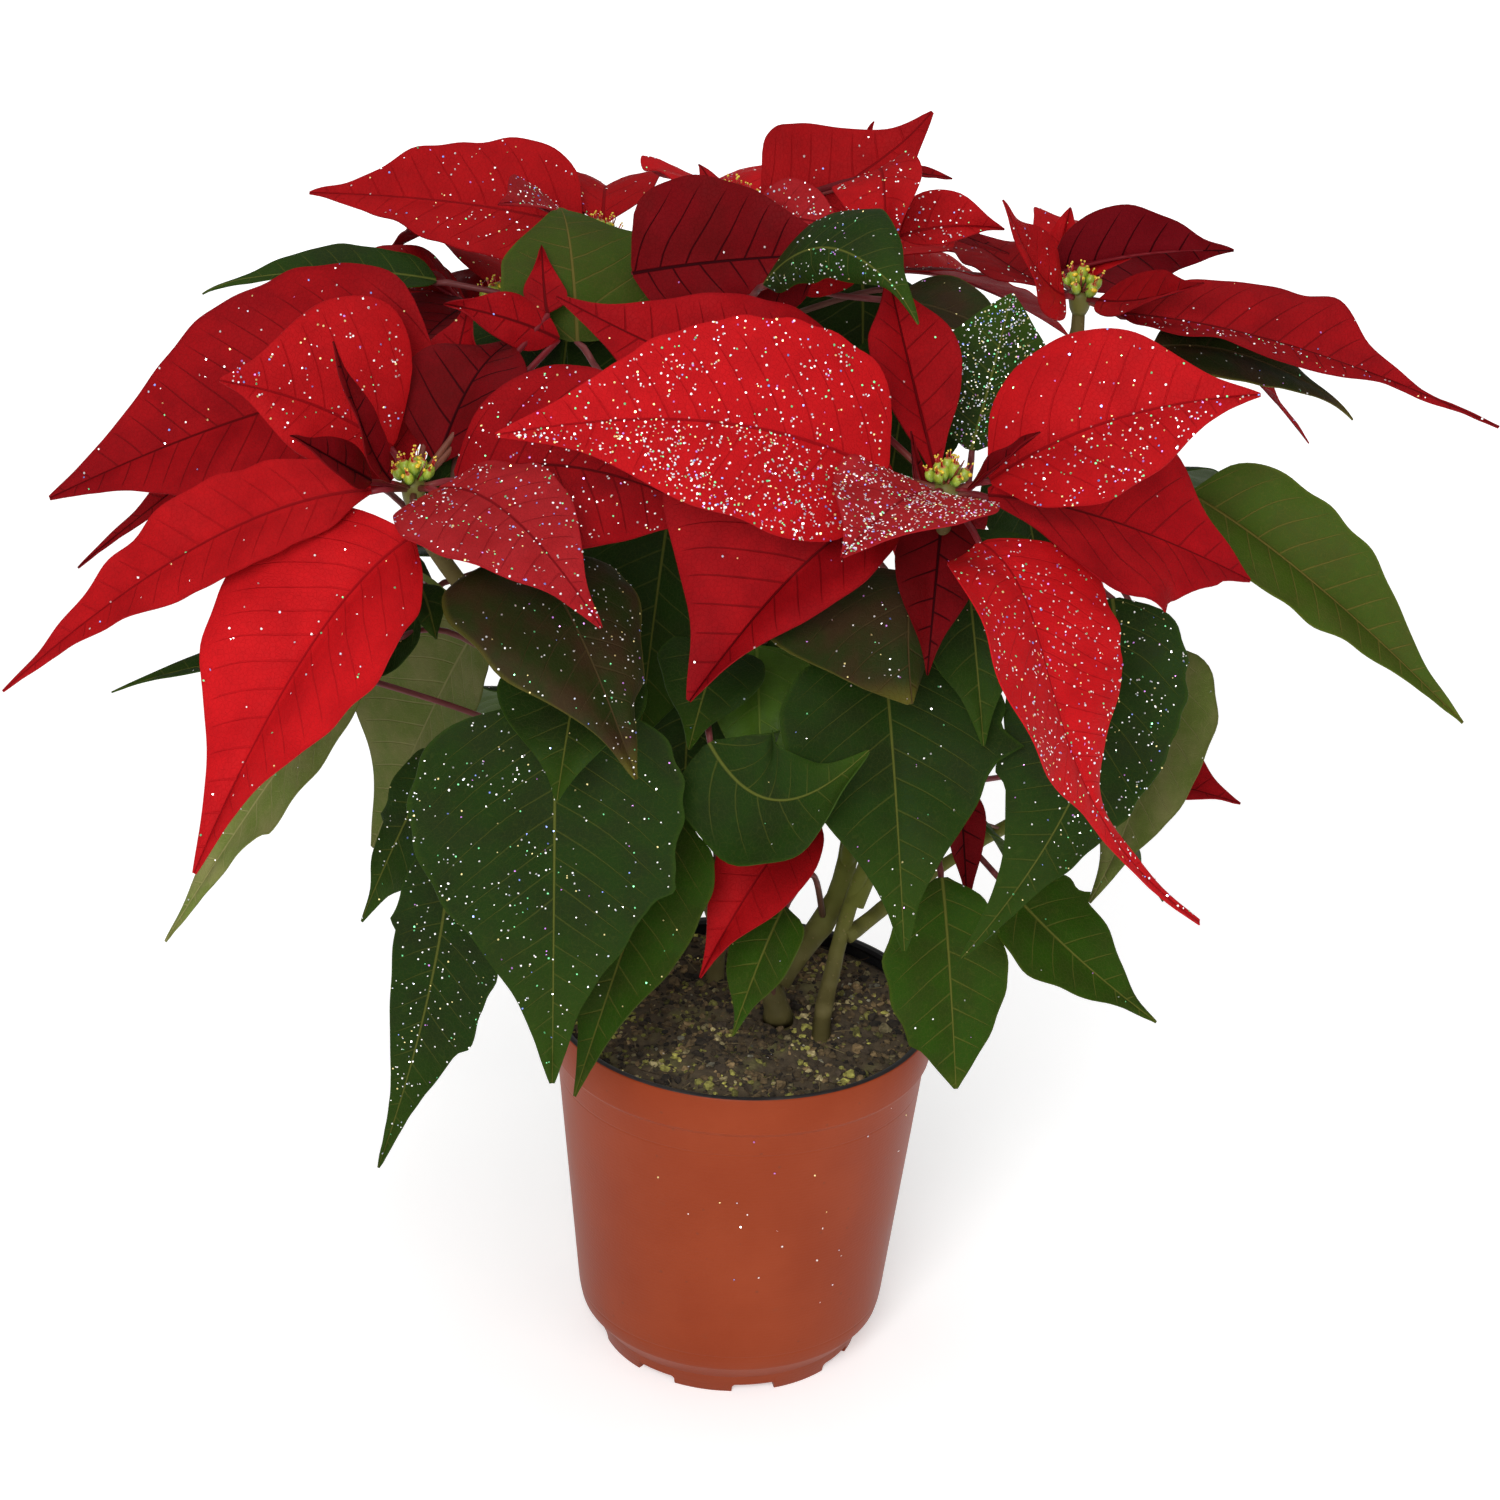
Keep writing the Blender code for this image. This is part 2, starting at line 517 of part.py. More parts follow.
def fork_path(points, per_span=4):
    """A fork's line: through its points, and upright where it ends under its flower head."""
    crown = Vector(points[-1])
    return smooth_path([*points[:-1], crown - Vector((0, 0, UPRIGHT_END))], per_span) + [crown]


def fork_point(home, at):
    """A point of a fork, from 0 at its foot to 1 under its flower head."""
    for forks in STEMS.values():
        if home in forks:
            path = fork_path(forks[home][0])
            place = at * (len(path) - 1)
            low = min(int(place), len(path) - 2)
            return path[low].lerp(path[low + 1], place - low)
    raise ValueError(home)


def root_of(blade):
    if blade.kind in GREEN_KINDS:
        return fork_point(blade.home, blade.at)
    return fork_point(blade.home, 1.0) + Vector((0, 0, HUB_GAP + HUB_HEIGHT * HUB_ROOT))


def node_of(blade):
    """The node that a blade is fused into."""
    if blade.kind in GREEN_KINDS:
        return next(stem for stem, forks in STEMS.items() if blade.home in forks)
    return "bracts_" + blade.home


def thick_tree(bm, thickness):
    """A search tree of a sheet thickened to both sides, for the test of what it touches."""
    verts = [v.co + v.normal * s for s in (thickness / 2, -thickness / 2) for v in bm.verts]
    count = len(bm.verts)
    faces = []
    bm.verts.index_update()
    for face in bm.faces:
        corners = [v.index for v in face.verts]
        faces += [corners, [c + count for c in corners]]
    for edge in bm.edges:
        if edge.is_boundary:
            a, b = (v.index for v in edge.verts)
            faces += [[a, b, b + count], [a, b + count, a + count]]
    return BVHTree.FromPolygons(verts, faces, epsilon=0.0)


def stalk_tree(points, radius):
    """A search tree of a stalk, as a square tube round its points."""
    verts, faces = [], []
    for i, point in enumerate(points):
        ahead = points[min(i + 1, len(points) - 1)] - points[max(i - 1, 0)]
        one = ahead.orthogonal().normalized() * radius
        two = ahead.normalized().cross(one)
        verts += [(point + way) * MM for way in (one + two, two - one, -one - two, one - two)]
        if i:
            for k in range(4):
                low, turn = 4 * (i - 1), (k + 1) % 4
                faces.append([low + k, low + turn, low + 4 + turn, low + 4 + k])
    last = len(verts) - 4
    faces += [[0, 1, 2, 3], [last, last + 1, last + 2, last + 3]]
    return BVHTree.FromPolygons(verts, faces, epsilon=0.0)


def candidates(blade):
    """The blade as drawn, then bent more and more, each with how far it is bent."""
    ways = []
    for shift in SHIFTS:
        for turn in TURNS:
            for lift in LIFTS:
                cost = abs(shift) * SHIFT_WEIGHT + abs(turn) * TURN_WEIGHT + abs(lift) * LIFT_WEIGHT
                ways.append((cost, shift, turn, lift))
    for cost, shift, turn, lift in sorted(ways, key=lambda way: way[0]):
        base = blade.base
        if base:
            base = tuple(Vector(base) + SIGHT * shift * 0.5)
        tip = tuple(Vector(blade.tip) + SIGHT * shift)
        yield cost, replace(blade, tip=tip, base=base, roll=blade.roll + turn, rise=blade.rise + lift)


def fixed_trees():
    """Search trees of what the blades keep clear of: stems, buds, hubs and the pot's rim."""
    held = []
    for stem, forks in STEMS.items():
        for points, foot, top in forks.values():
            radius = (foot + top) / 2 + FORK_CLEARANCE
            held.append((stem, stalk_tree(fork_path(points), radius), None))
    buds_height, buds_radius = BUDS_CLEAR
    for home in HEADS:
        crown = fork_point(home, 1.0)
        shoulder = crown + Vector((0, 0, HUB_HEIGHT))
        top = shoulder + Vector((0, 0, buds_height))
        held.append(("buds_" + home, stalk_tree([shoulder, top], buds_radius), None))
        held.append(("bracts_" + home, stalk_tree([crown, shoulder], HUB_RADIUS + HUB_CLEAR), None))
    rim_radius, rim_drop = RIM_CLEAR
    start = Vector((RIM_RADIUS, 0, POT_HEIGHT - rim_drop))
    turns = [Matrix.Rotation(2 * math.pi * k / RIM_STEPS, 3, "Z") for k in range(RIM_STEPS + 1)]
    held.append(("pot", stalk_tree([turn @ start for turn in turns], rim_radius), None))
    return held


def touches(trees, others):
    """How many of the pairs cross."""
    return sum(bool(one.overlap(two)) for one in trees for two in others if two)


def crossing_cost(node, body, stalk, held, limit):
    """What a blade's crossings cost, counted until they reach the limit."""
    cost = 0.0
    for owner, tree, other_stalk in held:
        if cost >= limit:
            break
        if owner != node:
            cost += OTHER_NODE_COST * touches((body, stalk), (tree, other_stalk))
        elif other_stalk:
            cost += OWN_NODE_COST * touches((body,), (tree,))
    return cost


def placed_blades():
    """Every blade, bent where it has to be so that it crosses no other node."""
    held = fixed_trees()
    placed = []
    for blade in BLADES:
        node = node_of(blade)
        root = root_of(blade)
        least = math.inf
        for bend_cost, option in candidates(blade):
            if bend_cost >= least:
                break
            controls = spine_controls(option, root)
            bm = blade_sheet(option, controls)
            body = thick_tree(bm, CLEAR_THICKNESS * MM)
            bm.free()
            stalk = stalk_tree(stalk_points(option, controls, root), STALK_RADIUS + STALK_CLEARANCE)
            cost = bend_cost + crossing_cost(node, body, stalk, held, least - bend_cost)
            if cost < least:
                least = cost
                chosen = (option, body, stalk)
        placed.append(chosen[0])
        held.append((node, *chosen[1:]))
    return placed


def blade_solid(blade, controls, collection):
    """The blade alone, as a closed solid."""
    bm = blade_sheet(blade, controls)
    mesh = bpy.data.meshes.new(blade.name)
    bm.to_mesh(mesh)
    bm.free()
    obj = new_object(blade.name, mesh, collection)
    thick = obj.modifiers.new("thickness", "SOLIDIFY")
    thick.thickness = BLADE_THICKNESS * MM
    thick.offset = 0
    bpy.context.view_layer.update()
    return baked(obj, blade.name, collection)


def blade_pieces(blade, collection):
    """A blade's two solids, its stalk first."""
    root = root_of(blade)
    controls = spine_controls(blade, root)
    solid = blade_solid(blade, controls, collection)
    points = stalk_points(blade, controls, root)
    radius = STALK_RADIUS * (THIN_STALK if blade.kind == "lance" else 1.0)
    radii = [radius] * (len(points) - 1) + [radius / 2]
    stalk = tube(blade.name + "_stalk", points, radii, collection, sides=4)
    return [stalk, solid]


def turned(name, profile, sides, collection, material):
    """A solid of revolution from a profile in mm that runs down its outer side."""
    mesh = bpy.data.meshes.new(name)
    points = [(x * MM, 0, z * MM) for x, z in profile]
    mesh.from_pydata(points, [(i, i + 1) for i in range(len(points) - 1)], [])
    obj = new_object(name, mesh, collection, material)
    screw = obj.modifiers.new("turn", "SCREW")
    screw.steps = sides
    screw.render_steps = sides
    screw.use_merge_vertices = True
    screw.merge_threshold = 0.00005
    screw.use_smooth_shade = True
    bpy.context.view_layer.update()
    return baked(obj, name, collection, material)


def pot_profile():
    """From the middle of the inner floor, up the inside, over the lip and down the outside.

    The foot ring and a round pad in the middle of the floor stand on the surface.
    """
    inner_rim = RIM_RADIUS - WALL
    band_low = POT_HEIGHT - RIM_BAND_HEIGHT
    inner_floor = FLOOR_HEIGHT + WALL
    foot_inner = FOOT_RADIUS - FOOT_RING_WIDTH
    return (
        (0, inner_floor),
        (FOOT_RADIUS - 2 * WALL, inner_floor),
        (TAPER_RADIUS - HEEL_STEP - 2 * WALL, HEEL_HEIGHT - HEEL_ROUND),
        (TAPER_RADIUS - WALL, HEEL_HEIGHT + 2 * WALL),
        (inner_rim - RIM_BAND_STEP, band_low),
        (inner_rim, band_low + 2 * WALL),
        (inner_rim, POT_HEIGHT - LIP_RADIUS),
        (RIM_RADIUS - WALL / 2, POT_HEIGHT),
        (RIM_RADIUS, POT_HEIGHT - LIP_RADIUS),
        (RIM_RADIUS, band_low + RIM_BAND_STEP),
        (RIM_RADIUS - RIM_BAND_STEP, band_low),
        (TAPER_RADIUS, HEEL_HEIGHT),
        (TAPER_RADIUS - HEEL_STEP, HEEL_HEIGHT - HEEL_ROUND),
        (FOOT_RADIUS + WALL, FOOT_HEIGHT),
        (FOOT_RADIUS, 0),
        (foot_inner, 0),
        (foot_inner - 1, FLOOR_HEIGHT),
        (PAD_RADIUS + 1, FLOOR_HEIGHT),
        (PAD_RADIUS, 0),
        (0, 0),
    )


def cut(target, cutters, name, collection, material):
    """The target less each of the cutters, which are then removed."""
    for cutter in cutters:
        cutter.hide_render = True
        cutter.display_type = "WIRE"
        bite = target.modifiers.new("cut", "BOOLEAN")
        bite.operation = "DIFFERENCE"
        bite.object = cutter
    bpy.context.view_layer.update()
    made = baked(target, name, collection, material)
    for cutter in cutters:
        bpy.data.objects.remove(cutter)
    return made


def rod(name, centre, radius, low, high, sides, collection):
    """An upright round solid, in millimetres."""
    mesh = bpy.data.meshes.new(name)
    bm = bmesh.new()
    place = Matrix.Translation(Vector((centre[0], centre[1], (low + high) / 2)) * MM)
    bmesh.ops.create_cone(
        bm,
        cap_ends=True,
        segments=sides,
        radius1=radius * MM,
        radius2=radius * MM,
        depth=(high - low) * MM,
        matrix=place,
    )
    bm.to_mesh(mesh)
    bm.free()
    return new_object(name, mesh, collection)


def notch(name, angle, collection):
    """A block that cuts one drainage notch through the foot ring, at an angle round it."""
    mesh = bpy.data.meshes.new(name)
    bm = bmesh.new()
    size = Matrix.Diagonal((NOTCH_REACH * MM, NOTCH_WIDTH * MM, 2 * NOTCH_HEIGHT * MM, 1))
    place = Matrix.Rotation(angle, 4, "Z") @ Matrix.Translation((FOOT_RADIUS * MM, 0, 0))
    bmesh.ops.create_cube(bm, size=1.0, matrix=place @ size)
    bm.to_mesh(mesh)
    bm.free()
    return new_object(name, mesh, collection)


def build_pot(parts, cutters, material):
    """The pot, with notches in its foot ring and drain holes in its floor."""
    body = turned("pot_body", pot_profile(), POT_SIDES, parts, material)
    tools = []
    for k in range(NOTCH_COUNT):
        angle = 2 * math.pi * (k + NOTCH_TURN) / NOTCH_COUNT
        tools.append(notch("notch", angle, cutters))
    for k in range(DRAIN_COUNT):
        angle = 2 * math.pi * (k + 0.5) / DRAIN_COUNT
        spot = (DRAIN_RING * math.cos(angle), DRAIN_RING * math.sin(angle))
        tools.append(rod("drain", spot, DRAIN_RADIUS, 0, FLOOR_HEIGHT + 2 * WALL, 8, cutters))
    return cut(body, tools, "pot", parts, material)


def soil_profile():
    """From the crown of the compost out to the wall of the pot, and down inside it."""
    inside = [(x - GAP, z) for x, z in pot_profile()[1:7]]
    (foot_x, foot_z), low, mid, high, (step_x, step_z), (edge_x, _) = inside
    top = []
    for ring in range(SOIL_RINGS + 1):
        share = ring / SOIL_RINGS
        top.append((edge_x * share, SOIL_CROWN + (SOIL_EDGE - SOIL_CROWN) * share ** 2))
    return (*top, (step_x, step_z - GAP), high, mid, low, (foot_x, foot_z + GAP), (0, foot_z + GAP))


def build_soil(parts, cutters, material):
    """The compost, which fills the pot to its rim, with a plain hole for each stem."""
    body = turned("soil_body", soil_profile(), SOIL_SIDES, parts, material)
    for vert in body.data.vertices:
        reach = math.hypot(vert.co.x, vert.co.y) / MM
        if vert.co.z > (SOIL_EDGE - 1) * MM and reach < RIM_RADIUS - 4:
            vert.co.z += noise.noise(vert.co / (SOIL_LUMP * MM)) * SOIL_ROUGHNESS * MM
    tools = []
    for forks in STEMS.values():
        points, foot, _ = next(iter(forks.values()))
        x, y, low = points[0]
        radius = foot + STEM_HOLE_MARGIN
        tools.append(rod("stem_hole", (x, y), radius, low - 1, SOIL_CROWN + 8, 12, cutters))
    return cut(body, tools, "soil", parts, material)


def build_stem(stem, forks, blades, parts, material):
    """A stem with its forks and the leaves that grow on them."""
    pieces = []
    for home, (points, foot, top) in forks.items():
        path = fork_path(points, 3)
        steps = len(path) - 1
        radii = [foot + (top - foot) * min(1.0, FORK_TAPER * k / steps) for k in range(steps + 1)]
        sides = 8 if foot > THICK_FORK else 6
        pieces.append(tube("fork_" + home, path, radii, parts, sides=sides))
    for blade in blades:
        if node_of(blade) == stem:
            pieces += blade_pieces(blade, parts)
    return fuse(stem, pieces, parts, material)


def build_head(home, blades, parts, red, green):
    """The whorl of bracts on its hub, and the cluster of buds that stands on it."""
    crown = fork_point(home, 1.0)
    low = crown.z + HUB_GAP
    hub = rod("hub_" + home, crown, HUB_RADIUS, low, low + HUB_HEIGHT, 8, parts)
    pieces = [hub]
    for blade in blades:
        if node_of(blade) == "bracts_" + home:
            pieces += blade_pieces(blade, parts)
    fuse("bracts_" + home, pieces, parts, red)
    buds = []
    foot_z = low + HUB_HEIGHT + GAP
    for k in range(BUD_COUNT):
        angle = 2 * math.pi * k / BUD_COUNT
        spot = crown.copy()
        spot.x += BUD_RING * math.cos(angle)
        spot.y += BUD_RING * math.sin(angle)
        spot.z = foot_z + BUD_RISE
        mesh = bpy.data.meshes.new("bud")
        bm = bmesh.new()
        size = Matrix.Diagonal((1, 1, 1.5, 1))
        place = Matrix.Translation(spot * MM) @ size
        bmesh.ops.create_icosphere(bm, subdivisions=1, radius=BUD_RADIUS * MM, matrix=place)
        bm.to_mesh(mesh)
        bm.free()
        buds.append(new_object("bud", mesh, parts))
    buds.insert(0, rod("bud_foot", crown, BUD_RING, foot_z, foot_z + BUD_FOOT_HEIGHT, 6, parts))
    fuse("buds_" + home, buds, parts, green)


def main():
    clear_scene()
    parts = new_collection("poinsettia")
    cutters = new_collection("cutters", hidden=True)
    clay = new_material("pot_plastic", POT_CLAY, 0.45)
    earth = new_material("compost", SOIL_BROWN, 0.95)
    red = new_material("bract", BRACT_RED, 0.5)
    green = new_material("leaf", LEAF_GREEN, 0.45)
    lime = new_material("bud", BUD_GREEN, 0.4)
    build_pot(parts, cutters, clay)
    build_soil(parts, cutters, earth)
    blades = placed_blades()
    for stem, forks in STEMS.items():
        build_stem(stem, forks, blades, parts, green)
    for home in HEADS:
        build_head(home, blades, parts, red, lime)
    bpy.data.collections.remove(cutters)


if __name__ == "__main__":
    main()
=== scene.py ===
"""The looks of a potted poinsettia: pot, compost, stems, leaves, red bracts, buds and glitter.

The tables are in millimetres: x to the right, y away from the front, z up from the pot's foot.
They are the same as in the model's own source, but for the inner blades, which have no solids,
so each fine piece lies where its solid is.
"""

import logging
import math
from dataclasses import dataclass, field, replace
from enum import Enum
from itertools import product
from typing import Iterator, Optional, Sequence, Union

import bmesh
import bpy
import numpy as np
from mathutils import Matrix, Vector, noise
from mathutils.kdtree import KDTree


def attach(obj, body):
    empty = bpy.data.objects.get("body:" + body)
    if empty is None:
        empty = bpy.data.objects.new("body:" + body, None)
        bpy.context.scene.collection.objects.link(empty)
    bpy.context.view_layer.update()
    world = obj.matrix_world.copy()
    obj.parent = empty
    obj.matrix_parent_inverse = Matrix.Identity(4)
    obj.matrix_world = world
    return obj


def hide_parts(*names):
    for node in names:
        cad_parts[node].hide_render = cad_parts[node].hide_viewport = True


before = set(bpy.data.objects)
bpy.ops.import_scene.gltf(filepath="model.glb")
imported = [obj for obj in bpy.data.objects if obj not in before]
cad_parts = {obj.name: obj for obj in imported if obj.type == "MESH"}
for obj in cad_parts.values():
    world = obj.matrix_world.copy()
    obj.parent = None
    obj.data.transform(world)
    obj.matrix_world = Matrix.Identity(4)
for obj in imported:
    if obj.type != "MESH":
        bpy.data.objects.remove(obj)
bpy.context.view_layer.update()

MM = 0.001
LOG = logging.getLogger("poinsettia")

Point = tuple[float, float, float]
Colour = tuple[float, float, float]
Socket = bpy.types.NodeSocket
Feed = Union[Socket, float, Colour]
Key = Union[int, str]
Spot = tuple[Vector, Vector]


# Half width along a blade, as a share of its greatest half width, from base (0) to tip (1).
OUTLINES = {
    "bract": ((0, 0.08), (0.13, 0.72), (0.34, 1.0), (0.58, 0.82), (0.82, 0.26), (1, 0.02)),
    "broad": ((0, 0.1), (0.08, 0.8), (0.27, 1.0), (0.54, 0.8), (0.8, 0.28), (1, 0.02)),
    "leaf": ((0, 0.1), (0.08, 0.78), (0.28, 1.0), (0.54, 0.78), (0.8, 0.26), (1, 0.02)),
    "tail": ((0, 0.08), (0.13, 0.8), (0.3, 1.0), (0.5, 0.95), (0.63, 0.5), (0.75, 0.16), (1, 0.03)),
    "late": ((0, 0.08), (0.16, 0.42), (0.4, 0.95), (0.62, 1.0), (0.84, 0.34), (1, 0.02)),
    "oval": ((0, 0.1), (0.14, 0.64), (0.4, 1.0), (0.66, 0.86), (0.87, 0.4), (1, 0.03)),
    "lance": ((0, 0.12), (0.3, 1.0), (0.66, 0.72), (1, 0.04)),
    "leaflet": ((0, 0.12), (0.3, 1.0), (0.66, 0.72), (1, 0.04)),
}
GREEN_KINDS = ("leaf", "oval", "leaflet")


@dataclass(frozen=True)
class Blade:
    """A leaf or a bract. A base of None lets it leave its flower head on a short stalk.

    Sizes are in millimetres and angles in degrees. rise arches the midrib, sway bends it
    sideways, hook turns its tip up, roll turns the blade about it, and fold lifts both
    halves. at is the share of its fork's length where a leaf's stalk starts. lobes are pairs
    of a share of the blade's length and a side. skew widens side 1 and narrows side -1.
    stalk is how far a bract's base lies from its hub's axis. aim is the way that the blade
    heads, and near and far are its midrib's middle points, where the usual ones don't do.
    """

    name: str
    home: str
    width: float
    tip: Point
    rise: float = 0.0
    roll: float = 0.0
    fold: float = 12.0
    sway: float = 0.0
    hook: float = 0.0
    kind: str = "bract"
    base: Optional[Point] = None
    at: float = 0.0
    lobes: tuple = ()
    skew: float = 0.0
    stalk: float = 13.0
    aim: Optional[float] = None
    near: Optional[Point] = None
    far: Optional[Point] = None

    @property
    def green(self) -> bool:
        """Whether it is a leaf, and grows on a stem."""
        return self.kind in GREEN_KINDS

    @property
    def piece(self) -> str:
        """The name of its piece."""
        return ("leaf_" if self.green else "bract_") + self.name


def leaf(
    name: str, home: str, width: float, tip: Point, base: Point, at: float, rise: float,
    **more: Union[float, tuple],
) -> Blade:
    """Draws a green leaf, whose stalk leaves its home's fork at one share of its length."""
    return Blade(name, home, width, tip, rise, base=base, at=at, **{"fold": 10.0, "kind": "leaf", **more})


# Forks of the three stems: the points that each passes through, from the ground up, and its
# radius at the ground and under the flower head.
STEMS = {
    "stem_left": {
        "A": (((11, -5, 101), (11, -5, 116), (9, -6, 138), (-25, -15, 205), (-75, -50, 275),
               (-106, -75, 335)), 6.5, 2.3),
        "E": (((11, -2, 130), (2, 4, 165), (-20, 20, 225), (-50, 55, 300), (-59, 75, 365)), 4.2, 2.2),
        "D": (((12, -5, 140), (33, 5, 182), (30, 12, 280), (4, 22, 345), (-14, 30, 392)), 4.2, 2.2),
        "F": (((33, 5, 178), (32, -2, 205), (15, -20, 234)), 2.8, 2.0),
    },
    "stem_right": {
        "B": (((27, -13, 101), (27, -13, 116), (28, -12, 138), (37, -8, 182), (56, -42, 262),
               (53, -85, 346)), 4.0, 2.3),
        "C": (((36, -8, 172), (58, 10, 230), (88, 35, 300), (99, 45, 365)), 3.2, 2.2),
        "G": (((34, -8, 160), (62, 18, 172), (105, 45, 196)), 2.8, 2.0),
    },
    "stem_back": {
        "H": (((-10, 24, 101), (-10, 24, 116), (-9, 28, 140), (0, 65, 240), (20, 120, 345)), 4.6, 2.2),
        "I": (((-9, 28, 142), (-45, 55, 225), (-80, 95, 290), (-95, 110, 330)), 3.4, 2.2),
    },
}
HEADS = tuple(home for forks in STEMS.values() for home in forks)

